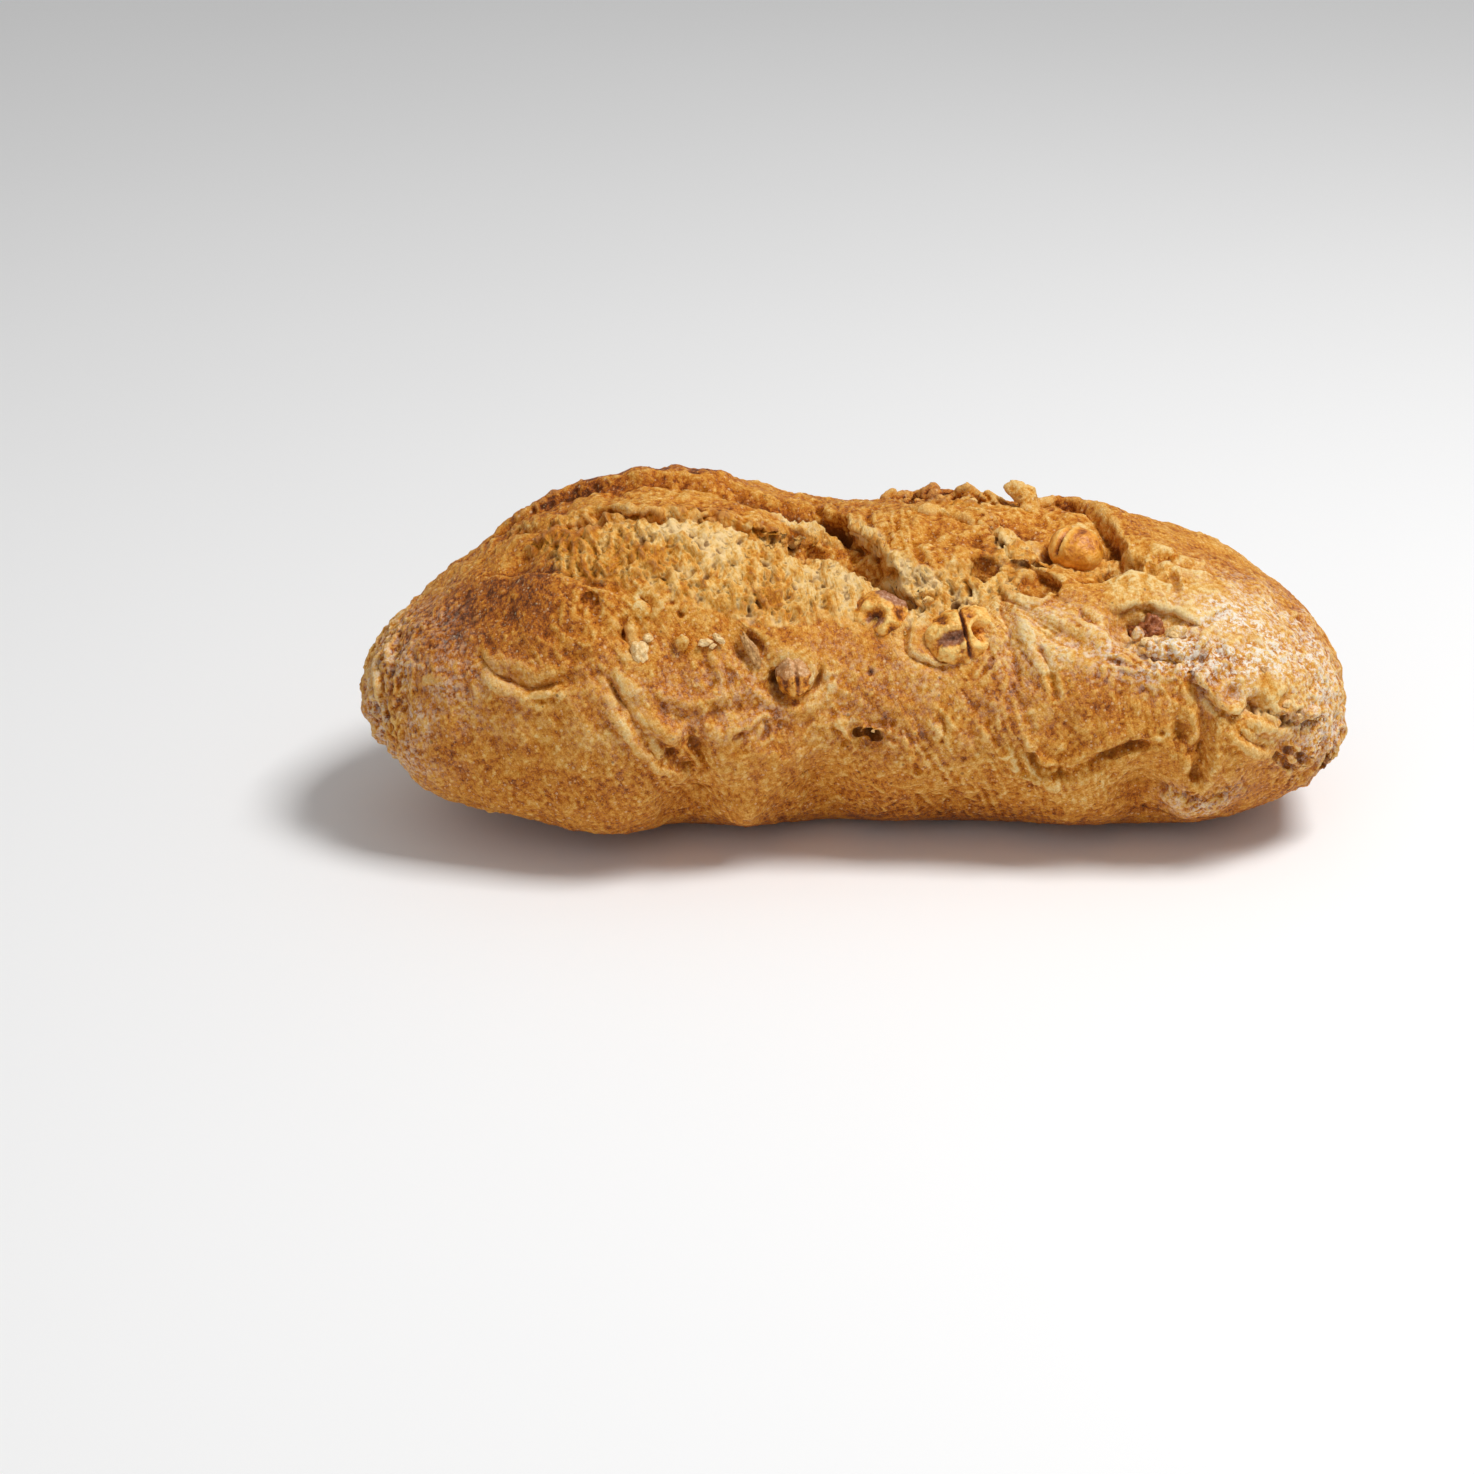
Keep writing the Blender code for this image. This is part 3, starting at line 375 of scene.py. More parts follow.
FINE_PITS = (
    (-14.4, 72, 1.5, 3.5),  # holes under the ear
    (-11.3, 67.5, 2.2, 4.5),
    (-5.7, 76, 1.8, 4.5),
    (-1.3, 75, 1.8, 4.5),
    (2, 74.5, 1.6, 4.0),
    (2.2, 64, 1.7, 4.0),
    (4, 58, 1.4, 3.5),
    (11.5, 53.5, 1.8, 3.5),
    (-62.2, 82.2, 1.5, 3.0),
    (44.4, 71.5, 1.5, 3.0),
    (-16.9, 89.4, 1, 1.5),
    (-20.6, 70.2, 1.2, 2),
    (-63.8, 78.3, 1.8, 2.6),
    (-83.5, 93.6, 1.6, 2.2),
    (29.6, 66.5, 2.3, 4.4),
    (64.3, 73, 2.2, 3.2),
    (23.7, 52.2, 0.8, 1.4),
    (25.6, 52.8, 0.8, 1.4),
    (27.4, 50.4, 0.9, 1.4),
    (3.1, 26.4, 0.7, 1.6),
    (-11.3, -17.4, 1.1, 1.4),
    (-55, 34.2, 1.6, 1.8),
    (-51.1, 29.4, 1.6, 1.8),
    (-17.5, 24, 2.2, 3),
    (78.9, 1.8, 2, 2.4),
    (80.3, -12, 1.8, 2.2),
    (92.5, 19.8, 2.4, 2.6),
    (87, 24, 2, 2),
    (99.6, 24, 2, 1.6),
    (71, 7.8, 0.6, 1.2),
    (105.8, 8.4, 0.5, 1),
    (72.6, 46.8, 1, 1.4),
    (77, 43.2, 1.6, 1.8),
    (62.2, 40.8, 2, 3),
    (65.4, 48, 1.8, 2.6),
    (19.4, 32.4, 2.2, 1.6),
    (28.6, 37.8, 1.6, 1),
    (-43.6, 43.8, 1, 1.2),
    (-41.2, 40.8, 0.9, 1.2),
    (-38.9, 53.4, 0.8, 1),
)


# ---------------------------------------------------------------- plain form


def smooth(table, column, x):
    """A smooth curve through one column of a table whose first column is x."""
    table = np.array(table, float)
    xs, ys = table[:, 0], table[:, column]
    slope = np.gradient(ys, xs)
    i = np.clip(np.searchsorted(xs, x) - 1, 0, len(xs) - 2)
    step = xs[i + 1] - xs[i]
    t = np.clip((x - xs[i]) / step, 0, 1)
    return (
        (1 + 2 * t) * (1 - t) ** 2 * ys[i]
        + t * (1 - t) ** 2 * step * slope[i]
        + t * t * (3 - 2 * t) * ys[i + 1]
        - t * t * (1 - t) * step * slope[i + 1]
    )


def crust(x, girth):
    """Points of the plain form at x and girth."""
    x, girth = np.broadcast_arrays(np.asarray(x, float), np.radians(girth))
    ratio = np.clip(np.abs(x) / (LENGTH / 2), 0, 1)
    end = np.sqrt(1 - ratio ** np.where(x < 0, LEFT_ROUNDING, RIGHT_ROUNDING))
    crest, front, back = (smooth(OUTLINE, column, x) for column in (1, 2, 3))
    c, s = np.cos(girth), np.sin(girth)
    power = 2 / np.where(s > 0, UPPER_ROUNDING, LOWER_ROUNDING)
    y = (front + back) / 2 - (back - front) / 2 * end * np.sign(c) * np.abs(c) ** power
    rise = np.where(s > 0, crest - WAIST, WAIST + BASE_SINK)
    return np.stack([x, y, WAIST + rise * end * np.sign(s) * np.abs(s) ** power], -1)


def crust_normal(x, girth):
    """Outward normals of the plain form."""
    along = crust(x + 0.5, girth) - crust(x - 0.5, girth)
    across = crust(x, girth + 1.0) - crust(x, girth - 1.0)
    return unit(np.cross(along, across))


def unit(vectors):
    return vectors / np.maximum(np.linalg.norm(vectors, axis=-1, keepdims=True), 1e-9)


def plain_loaf():
    """Points and faces of the plain form: rings of points along X, closed by a point at each end."""
    x = LENGTH / 2 * np.sin(np.linspace(-0.5, 0.5, RINGS + 2)[1:-1] * np.pi)
    girth = np.linspace(0, 360, RING_POINTS, endpoint=False)
    rings = crust(x[:, None], np.where(girth > 270, girth - 360, girth)[None, :]).reshape(-1, 3)
    tips = [rings[:RING_POINTS].mean(0), rings[-RING_POINTS:].mean(0)]
    tips[0][0], tips[1][0] = -LENGTH / 2, LENGTH / 2
    left, right = len(rings), len(rings) + 1
    faces = []
    for j in range(RING_POINTS):
        k = (j + 1) % RING_POINTS
        faces.append((left, j, k))
        for i in range(RINGS - 1):
            a = i * RING_POINTS
            faces.append((a + j, a + j + RING_POINTS, a + k + RING_POINTS, a + k))
        last = (RINGS - 1) * RING_POINTS
        faces.append((right, last + k, last + j))
    return np.vstack([rings, tips]), faces


# ---------------------------------------------------------------- strokes


def path_points(path, spacing=0.8):
    """A smooth path on the plain form through (x, girth) stations: its points and how far along each is."""
    t = np.arange(len(path))
    table = np.column_stack([t, np.array(path, float)])
    fine = np.linspace(0, len(path) - 1, 12 * len(path))
    points = crust(smooth(table, 1, fine), smooth(table, 2, fine))
    run = np.concatenate([[0], np.cumsum(np.linalg.norm(np.diff(points, axis=0), axis=1))])
    even = np.linspace(0, run[-1], max(4, int(run[-1] / spacing)))
    return np.column_stack([np.interp(even, run, points[:, i]) for i in range(3)]), even


def near_path(points, line, reach):
    """The points within reach of a line: their indices, distances to it, and its nearest stations."""
    low, high = line.min(0) - reach, line.max(0) + reach
    index = np.flatnonzero(((points > low) & (points < high)).all(1))
    gap = ((points[index, None] - line[None]) ** 2).sum(2)
    nearest = gap.argmin(1)
    distance = np.sqrt(gap[np.arange(len(index)), nearest])
    close = distance < reach
    return index[close], distance[close], nearest[close]


def fade(run):
    """1 along a path, easing to 0 at its ends."""
    share = run / run[-1]
    return np.clip(np.minimum(share, 1 - share) * PATH_FADE, 0, 1) ** PATH_FADE_POWER


def away(points, x, girth, reach_x, reach_across):
    """How far each point lies from a place on the crust, squared, where the reaches count as 1."""
    offset = points - crust(x, girth)
    return (offset[:, 0] / reach_x) ** 2 + (offset[:, 1] ** 2 + offset[:, 2] ** 2) / reach_across**2


def swell(points, x, girth, reach_x, reach_across, height):
    """How far a soft swelling or dent moves each point along its normal."""
    return height * np.exp(-away(points, x, girth, reach_x, reach_across))


def pit(points, x, girth, radius, depth):
    gap = np.linalg.norm(points - crust(x, girth), axis=1) / radius
    return -depth / (1 + gap**PIT_STEEPNESS)


def crease(points, path, width, depth, lips):
    """A groove with a raised lip on each side."""
    push = np.zeros(len(points))
    line, run = path_points(path)
    index, distance, nearest = near_path(points, line, 4 * width)
    groove = -depth * np.exp(-((distance / width) ** 2))
    swollen = lips * np.exp(-(((distance - SWOLLEN_AT * width) / width) ** 2))
    push[index] = (groove + swollen) * fade(run)[nearest]
    return push


def lip(points, normals, path, rise, drop, overhang, wall, reach):
    """How a torn edge of crust moves each point: up behind the edge, down before it, and out over it."""
    move = np.zeros_like(points)
    line, run = path_points(path)
    index, _, nearest = near_path(points, line, 2.2 * reach)
    along = unit(np.gradient(line, axis=0))[nearest]
    outward = normals[index]
    left = unit(np.cross(outward, along))
    offset = points[index] - line[nearest]
    side = (offset * left).sum(1) + LIP_RAGGED * noise(points[index], LIP_RAGGED_SIZE, 7)
    step = np.clip(side / wall + 0.5, 0, 1)
    step = step * step * (3 - 2 * step)
    behind, before = np.maximum(side, 0), np.minimum(side, 0)
    ends = np.exp(-(((offset * along).sum(1) / wall) ** 2)) * fade(run)[nearest]
    height = step * rise * np.exp(-((behind / reach) ** 2))
    height -= (1 - step) * drop * np.exp(-((before / (LIP_DROP_REACH * reach)) ** 2))
    shift = -overhang * step * np.exp(-((behind / (LIP_HANG_REACH * reach)) ** 2))
    move[index] = (outward * height[:, None] + left * shift[:, None]) * ends[:, None]
    return move


def pressed(points, normals):
    """The points after all the strokes."""
    push = sum(swell(points, *s) for s in SWELLINGS)
    push = push + sum(pit(points, *p) for p in PITS + FINE_PITS)
    for stroke in CREASES + FINE_CREASES:
        push = push + crease(points, *stroke)
    moved = points + normals * push[:, None]
    for stroke in LIPS.values():
        moved = moved + lip(points, normals, *stroke)
    return moved


# ---------------------------------------------------------------- horns and noise


def tube(centres, sides, ups, faces_round=12):
    """A closed tube around centres, whose rings reach along sides and ups."""
    turn = np.linspace(0, 2 * np.pi, faces_round, endpoint=False)
    rings = centres[:, None] + sides[:, None] * np.cos(turn)[:, None] + ups[:, None] * np.sin(turn)[:, None]
    count = len(centres)
    first, last = range(faces_round), range((count - 1) * faces_round, count * faces_round)
    faces = [tuple(reversed(first)), tuple(last)]
    for i in range(count - 1):
        for k in range(faces_round):
            n = (k + 1) % faces_round
            row, above = i * faces_round, (i + 1) * faces_round
            faces.append((row + k, row + n, above + n, above + k))
    return rings.reshape(-1, 3), faces


def horn(stations):
    """A tapering scrap of crust through stations over the plain form."""
    table = np.column_stack([np.arange(len(stations)), np.array(stations, float)])
    fine = np.linspace(0, len(stations) - 1, 5 * len(stations))
    x, girth, height, half_width, half_thickness = (smooth(table, column, fine) for column in range(1, 6))
    centres = crust(x, girth) + crust_normal(x, girth) * height[:, None]
    along = unit(np.gradient(centres, axis=0))
    front = np.broadcast_to([0.0, -1.0, 0.5], along.shape)
    sides = unit(np.cross(along, front))
    ups = np.cross(sides, along)
    return tube(centres, sides * half_width[:, None], ups * half_thickness[:, None])


def scraps(path, count, height, half_width, seed):
    """Small ragged horns that stand along a path."""
    rng = np.random.default_rng(seed)
    stations = np.array(path, float)
    at = np.sort(rng.uniform(0.03, 0.97, count)) * (len(path) - 1)
    steps = np.arange(len(path))
    made = []
    for place in at:
        x, girth = (np.interp(place, steps, stations[:, k]) for k in range(2))
        tall = height * rng.uniform(0.4, 1.3)
        wide = half_width * rng.uniform(0.5, 1.4)
        bend = rng.uniform(-1.5, 1.5)
        made.append((
            (x, girth, -2.0, wide, 1.1),
            (x + 0.2 * bend, girth + 0.3, 0.5 * tall, 0.9 * wide, 0.7),
            (x + bend, girth + 0.8 * bend, tall, 0.4 * wide, 0.45),
        ))
    return made


def noise(points, size, seed):
    """Smooth noise from about -1 to 1, whose waves are size long."""
    rng = np.random.default_rng(seed)
    order = rng.permutation(256)
    slopes = unit(rng.normal(size=(256, 3)))
    place = points / size
    cell = np.floor(place).astype(int)
    inside = place - cell
    ease = inside**3 * (inside * (inside * 6 - 15) + 10)
    total = np.zeros(len(points))
    for corner in np.ndindex(2, 2, 2):
        at = cell + corner
        key = order[(order[(order[at[:, 0] & 255] + at[:, 1]) & 255] + at[:, 2]) & 255]
        weight = np.prod(np.where(corner, ease, 1 - ease), axis=1)
        total += weight * ((inside - corner) * slopes[key]).sum(1)
    return 1.6 * total


def torn(points):
    """1 where the crumb is torn open, easing to 0 on whole crust."""
    whole = np.ones(len(points))
    for place in TORN:
        whole *= 1 - np.exp(-(away(points, *place) ** 2))
    return 1 - whole


def layered(kind, points, rows):
    """Sum of one kind of relief, for rows of its height and its other values."""
    return sum(height * kind(points, *values) for height, *values in rows)


def roughened(points, normals, sturdy):
    """Fine unevenness of the crust, and coarser crags on the torn crumb, less of both on thin scraps."""
    push = layered(noise, points, CRUST_WAVES)
    push += torn(points) * layered(noise, points, CRUMB_WAVES)
    push *= np.clip(points[:, 2] / CALM_HEIGHT, CALMEST, 1) * sturdy
    return points + normals * push[:, None]


# ---------------------------------------------------------------- cells and zones


def cells(points, size, seed):
    """How far the nearest of scattered centres is, in units of size, their spacing, and its number."""
    rng = np.random.default_rng(seed)
    order = rng.permutation(256)
    jitter = rng.random((256, 3))
    numbers = rng.random(256)
    place = points / size
    cell = np.floor(place).astype(int)
    nearest = np.full(len(points), 9.0)
    number = np.zeros(len(points))
    for step in np.ndindex(3, 3, 3):
        at = cell + step - 1
        key = order[(order[(order[at[:, 0] & 255] + at[:, 1]) & 255] + at[:, 2]) & 255]
        gap = ((place - at - jitter[key]) ** 2).sum(1)
        closer = gap < nearest
        nearest[closer] = gap[closer]
        number[closer] = numbers[key[closer]]
    return np.sqrt(nearest), number


def ridged(points, size, seed):
    """Noise with sharp crests, from 0 to 1."""
    return 1 - np.minimum(np.abs(noise(points, size, seed)) * 1.6, 1)


def blend(low, high, value):
    """0 where value is under low, 1 over high, smooth between."""
    t = np.clip((value - low) / (high - low), 0, 1)
    return t * t * (3 - 2 * t)


def patch(points, x, girth, reach_x, reach_across):
    """1 around a place on the crust, easing to 0 away from it."""
    return np.exp(-(away(points, x, girth, reach_x, reach_across) ** 1.5))


def zone(points, patches):
    """1 inside the union of the patches."""
    outside = np.ones(len(points))
    for place in patches:
        outside *= 1 - patch(points, *place)
    return 1 - outside


def tinted(points, patches):
    """Sum of patches, each times the strength that is its last number."""
    return sum(place[-1] * patch(points, *place[:-1]) for place in patches)


# Torn crumb, and the crust that lies within it: x, girth, reach along x, reach across
CRUMB = (
    (-84, 92, 8, 4),
    (-70, 77, 12, 7),
    (-57, 63, 15, 11),
    (-42, 62, 17, 14),
    (-27, 58, 15, 16),
    (-12, 60, 14, 16),
    (0, 60, 9, 13),
    (12, 58, 9, 9),
    (21, 53, 10, 8),
    (30, 60, 9, 8),
    (40, 77, 9, 9),
    (24, 95, 11, 5),
    (57, 78, 9, 9),
    (66, 44, 7, 5),
    (100, 15, 10, 3),
)
# The wall of crumb under the ear
WALL = ((-15, 88, 6, 5), (-9, 87, 7, 5), (-2, 84, 6, 4), (4, 78, 4, 4), (9, 68, 3.5, 4), (13, 58, 3.5, 4))
# Where the crumb is paler or more golden: x, girth, reach along x, reach across, how much more golden
TOASTED = (
    (-84, 92, 12, 8, 0.35),
    (-54, 79.5, 9, 3, 0.4),
    (-38, 78, 12, 3, 0.5),
    (-22, 77, 8, 3, 0.4),
    (-72, 78, 12, 10, 0.35),
    (-60, 64, 10, 10, 0.2),
    (-50, 56, 9, 7, 0.15),
    (-56, 80, 14, 5, 0.2),
    (-40, 66, 16, 6, -0.22),
    (-30, 60, 10, 8, -0.12),
    (-20, 54, 12, 8, 0.12),
    (-8, 62, 10, 8, -0.22),
    (6, 62, 8, 10, -0.16),
    (14, 54, 8, 8, -0.2),
    (24, 95, 12, 6, 0.3),
    (26, 58, 8, 8, -0.1),
    (56, 78, 10, 10, 0.25),
    (-14, 87, 9, 6, -0.3),
    (-2, 79, 7, 6, -0.2),
)
GOLDEN_CRUST = ((-8, 101, 12, 6), (5, 92, 9, 9), (13, 82, 8, 8), (22, 76, 7, 7), (51, 58, 8, 4))
# Crags on torn edges, crust that is combed in lines or crinkled, and what lies around the kernels
CRAGGY = ((14, 114, 5, 5), (22, 112, 8, 5), (31, 103, 6, 5), (41, 103, 4, 4), (34, 84, 5, 5), (85, -26, 9, 5))
COMBED = ((6, 86, 11, 10), (18, 80, 13, 14), (13, 62, 8, 10), (33, 74, 12, 10), (-4, 97, 10, 6))
CRINKLED = ((112, 0, 12, 34), (-114, 20, 9, 40), (74, 36, 12, 6), (-112, 50, 10, 14))
SOCKETS = ((24.5, 39.5, 12, 9), (5.6, 48.5, 9, 9), (53.2, 81, 9, 8))

# How strands and wrinkles lean: x, and how far they go to the right for each millimetre down
LEAN = (
    (-110, 0.2), (-70, 0.7), (-40, 0.5), (-12, 0.3), (3, 0.6), (14, 0.8), (30, 0.7), (60, 0.2), (110, 0.5),
)

# Where the crust is darker or paler: x, girth, reach along x, reach across, how much darker
BAKED = (
    (-42, 78.5, 22, 3, 0.2),
    (-62, 108, 34, 10, 0.34),
    (-84, 102, 16, 10, 0.18),
    (-34, 101, 14, 7, 0.16),
    (-84, 50, 18, 15, 0.24),
    (-66, 44, 14, 10, 0.2),
    (-98, 56, 14, 18, 0.14),
    (-100, 10, 18, 22, 0.02),
    (24, 112, 18, 8, 0.26),
    (54, 108, 14, 8, 0.16),
    (66, 92, 6, 10, 0.12),
    (40, 84, 9, 9, 0.14),
    (-5, 92, 14, 8, 0.08),
    (10, 76, 8, 8, 0.02),
    (24, 82, 12, 10, 0.08),
    (70, 66, 16, 14, -0.22),
    (92, 50, 20, 20, -0.2),
    (110, 16, 14, 16, -0.1),
    (42, 40, 16, 10, -0.18),
    (60, -6, 26, 20, -0.04),
    (-70, 62, 14, 8, 0.08),
    (-62, 46, 16, 6, -0.06),
    (-20, 30, 20, 10, -0.04),
    (-58, 62, 12, 9, 0.14),
    (-45, 54, 12, 7, 0.12),
    (-32, 68, 14, 5, -0.16),
    (-8, 56, 16, 10, -0.12),
    (12, 54, 10, 8, -0.12),
)
# Where flour lies: x, girth, reach along x, reach across, how much
FLOURED = (
    (100, 60, 20, 22, 0.85),
    (84, 44, 18, 14, 0.75),
    (112, 24, 12, 22, 0.35),
    (112, -12, 10, 12, 0.45),
    (70, 36, 14, 7, 0.9),
    (46, 40, 14, 10, 0.45),
    (-106, 34, 14, 28, 0.4),
    (-88, 22, 14, 12, 0.2),
    (-112, -4, 10, 20, 0.5),
    (-40, 14, 30, 14, 0.2),
    (10, 20, 40, 16, 0.2),
    (83, -28, 12, 6, 0.7),
)
FAN = (30, 58)  # where the fan of wrinkles starts: x, girth
FAN_LINES, FAN_LENGTH = 15, 14  # wrinkles for each radian, and how long their waves are

# Relief of the torn crumb and of the crust: rows of height, size (or width and length) and seed
CRUMB_LUMPS = ((0.9, 8, 46), (1.0, 3.4, 47), (0.6, 1.7, 48))
CRUMB_STRANDS = ((1.1, 3.2, 12, 49), (0.6, 1.9, 6, 51))
CRUMB_FOLDS = ((0.9, 2.8, 53), (0.45, 1.6, 55))
CRUMB_SUNK = 0.9
SKIN_LUMPS = ((0.6, 9, 64), (0.35, 4, 65), (0.16, 1.8, 66))
SKIN_FOLDS = ((0.6, 8, 67), (0.28, 3.2, 69))
CRAG_FOLDS = ((1.2, 4.6, 81), (0.8, 2.2, 83))
COMBED_LINES = ((1.0, 3.4, 22, 91), (0.5, 1.6, 12, 93))


def leaning(points, width, length, seed):
    """The points in units of width across the strands and of length along them."""
    lean = np.interp(points[:, 0], *np.array(LEAN).T)
    across = points[:, 0] + lean * (points[:, 2] - 60) + 1.2 * noise(points, 7, seed)
    return np.column_stack([across / width, points[:, 1] / length, points[:, 2] / length])


def combed(points):
    """The points with the first coordinate across the strands."""
    lean = np.interp(points[:, 0], *np.array(LEAN).T)
    across = points[:, 0] + lean * (0.9 * points[:, 2] + 0.4 * points[:, 1]) + 1.2 * noise(points, 9, 87)
    return np.column_stack([across, points[:, 1], points[:, 2]])


def strands(points, width, length, seed):
    """Ridged noise drawn out along the strands."""
    return ridged(leaning(points, width, length, seed + 1), 1.0, seed)


def crinkled(points, size, seed):
    """Wandering folds with thin crests, from about -0.6 to 0.4."""
    return ridged(points + 0.45 * size * noise(points, 1.2 * size, seed + 1)[:, None], size, seed) - 0.6


def fan(points):
    """Wrinkles that run away from one place, and how strong they are at each point."""
    offset = points - crust(*FAN)
    along, down = offset[:, 0], -(offset[:, 2] + 0.6 * offset[:, 1])
    far = np.hypot(along, down)
    angle = np.arctan2(down, along + 6)
    round_it = np.column_stack([angle * FAN_LINES, far / FAN_LENGTH, np.zeros(len(far))])
    strength = blend(3, 8, far) * (1 - blend(20, 34, far))
    strength = strength * blend(0.1, 0.5, angle) * (1 - blend(1.5, 2.0, angle))
    return ridged(round_it + 0.4 * noise(points, 6, 61)[:, None], 1.0, 60), strength


def crumb_zone(points):
    """1 on torn crumb, 0 on crust, with a ragged border."""
    border = 0.34 * noise(points, 8, 40) + 0.26 * noise(points, 2.5, 41)
    open_crumb = blend(0.34, 0.74, zone(points, CRUMB) + border)
    open_crumb = open_crumb * (1 - blend(0.35, 0.65, zone(points, GOLDEN_CRUST) + border))
    return np.maximum(open_crumb, blend(0.2, 0.6, zone(points, WALL)))


def crumb_relief(points):
    """Torn crumb: felted strands with a few slots and pores between them."""
    near, number = cells(leaning(points, 1.0, 2.4, 42) + 0.8 * noise(points, 2.4, 50)[:, None], 2.2, 43)
    slots = (number > 0.85) * np.exp(-((near / 0.4) ** 4)) * number
    near, number = cells(points + 1.6 * noise(points, 3, 45)[:, None], 4.4, 44)
    pores = (number > 0.82) * np.exp(-((near / 0.26) ** 4)) * number
    push = layered(noise, points, CRUMB_LUMPS)
    push += layered(strands, points, CRUMB_STRANDS)
    push += layered(crinkled, points, CRUMB_FOLDS)
    return push - 1.3 * slots - 2.2 * pores - CRUMB_SUNK


def skin_relief(points):
    """Baked crust: folds and stretch wrinkles, blisters and grains."""
    near, number = cells(points, 2.8, 61)
    blisters = number**3 * np.exp(-((near / 0.30) ** 2))
    near, number = cells(points, 1.3, 62)
    grains = number * np.exp(-((near / 0.36) ** 2))
    lively = blend(-0.4, 0.5, noise(points, 26, 63))
    push = layered(noise, points, SKIN_LUMPS)
    push += 0.5 * blisters + 0.28 * grains
    push += (0.2 + 0.8 * lively) * layered(crinkled, points, SKIN_FOLDS)
    push += (0.25 + 0.75 * lively) * 0.55 * (strands(points, 4.2, 26, 71) - 0.6)
    push += 0.1 * crinkled(points, 1.9, 77)
    lines = layered(strands, points, COMBED_LINES) - 0.9
    push += (0.1 + 0.7 * lively) * zone(points, COMBED) * lines
    creased = zone(points, CRINKLED)
    push += creased * (1.2 * crinkled(points * (1, 0.6, 0.6), 3.6, 73) + 0.5 * crinkled(points, 1.8, 75))
    wrinkles, strength = fan(points)
    return push + strength * (0.5 * wrinkles - 0.25)


def fine_relief(points):
    """What the relief of crumb and crust adds to each point, outwards, and how far the crumb is torn open."""
    torn_open = crumb_zone(points)
    push = torn_open * crumb_relief(points) + (1 - torn_open) * skin_relief(points)
    push = push + zone(points, CRAGGY) * layered(crinkled, points, CRAG_FOLDS)
    beside = zone(points, SOCKETS)
    return push * (1 - 0.6 * beside) - 0.9 * beside, torn_open


# ---------------------------------------------------------------- Blender objects


def metres(points):
    """Points in metres, rounded so that each run gives the same ones."""
    return np.round(points, ROUNDED_TO) * MM


def make_object(name, points, faces):
    mesh = bpy.data.meshes.new(name)
    mesh.from_pydata(metres(points).tolist(), [], faces)
    mesh.update()
    made = bpy.data.objects.new(name, mesh)
    bpy.context.scene.collection.objects.link(made)
    return made


def points_of(mesh):
    flat = np.empty(len(mesh.vertices) * 3)
    mesh.vertices.foreach_get("co", flat)
    return flat.reshape(-1, 3) / MM


def normals_of(mesh):
    """Outward normals of the points, added up face by face in a fixed order."""
    mesh.calc_loop_triangles()
    corners = np.empty(len(mesh.loop_triangles) * 3, np.int32)
    mesh.loop_triangles.foreach_get("vertices", corners)
    corners = corners.reshape(-1, 3)
    a, b, c = (points_of(mesh)[corners[:, k]] for k in range(3))
    area = np.cross(b - a, c - a)
    total = np.zeros((len(mesh.vertices), 3))
    for k in range(3):
        for axis in range(3):
            total[:, axis] += np.bincount(corners[:, k], area[:, axis], len(total))
    return unit(total)


def move_points(mesh, points):
    mesh.vertices.foreach_set("co", metres(points).ravel())
    mesh.update()


def apply_modifiers(made):
    """Replaces the object's mesh with what its modifiers make of it."""
    graph = bpy.context.evaluated_depsgraph_get()
    result = bpy.data.meshes.new_from_object(made.evaluated_get(graph))
    made.modifiers.clear()
    old, made.data = made.data, result
    bpy.data.meshes.remove(old)


def fuse(made, others, voxel):
    """Fuses the other objects' shapes into one closed skin with this one."""
    with bpy.context.temp_override(
        active_object=made, object=made, selected_editable_objects=[made, *others]
    ):
        bpy.ops.object.join()
    remesh = made.modifiers.new("Fuse", "REMESH")
    remesh.mode = "VOXEL"
    remesh.voxel_size = voxel * MM
    apply_modifiers(made)


def keep_largest(made):
    """Drops the loose scraps, and keeps the body with the most points."""
    mesh = made.data
    edges = np.empty(len(mesh.edges) * 2, np.int32)
    mesh.edges.foreach_get("vertices", edges)
    a, b = edges.reshape(-1, 2).T
    label = np.arange(len(mesh.vertices))
    changed = True
    while changed:
        low = np.minimum(label[a], label[b])
        before = label.copy()
        np.minimum.at(label, a, low)
        np.minimum.at(label, b, low)
        label = label[label]
        changed = (label != before).any()
    scraps = np.flatnonzero(label != np.bincount(label).argmax())
    if len(scraps):
        trimmed = bmesh.new()
        trimmed.from_mesh(mesh)
        trimmed.verts.ensure_lookup_table()
        bmesh.ops.delete(trimmed, geom=[trimmed.verts[i] for i in scraps], context="VERTS")
        trimmed.to_mesh(mesh)
        trimmed.free()


def store(mesh, name, values):
    """Keeps one number or one place for each point, for the material."""
    values = np.asarray(values, np.float32)
    if values.ndim == 1:
        mesh.attributes.new(name, "FLOAT", "POINT").data.foreach_set("value", values)
    else:
        mesh.attributes.new(name, "FLOAT_VECTOR", "POINT").data.foreach_set("vector", values.ravel())


def hollowness(mesh, points, normals, rounds):
    """How far each point lies under the smoothed surface, in millimetres."""
    edges = np.empty(len(mesh.edges) * 2, np.int32)
    mesh.edges.foreach_get("vertices", edges)
    a, b = edges.reshape(-1, 2).T
    count = np.bincount(a, minlength=len(points)) + np.bincount(b, minlength=len(points))
    smoothed = points.copy()
    for _ in range(rounds):
        for axis in range(3):
            column = smoothed[:, axis]
            total = np.bincount(a, column[b], len(points)) + np.bincount(b, column[a], len(points))
            smoothed[:, axis] = total / np.maximum(count, 1)
    return ((smoothed - points) * normals).sum(1)


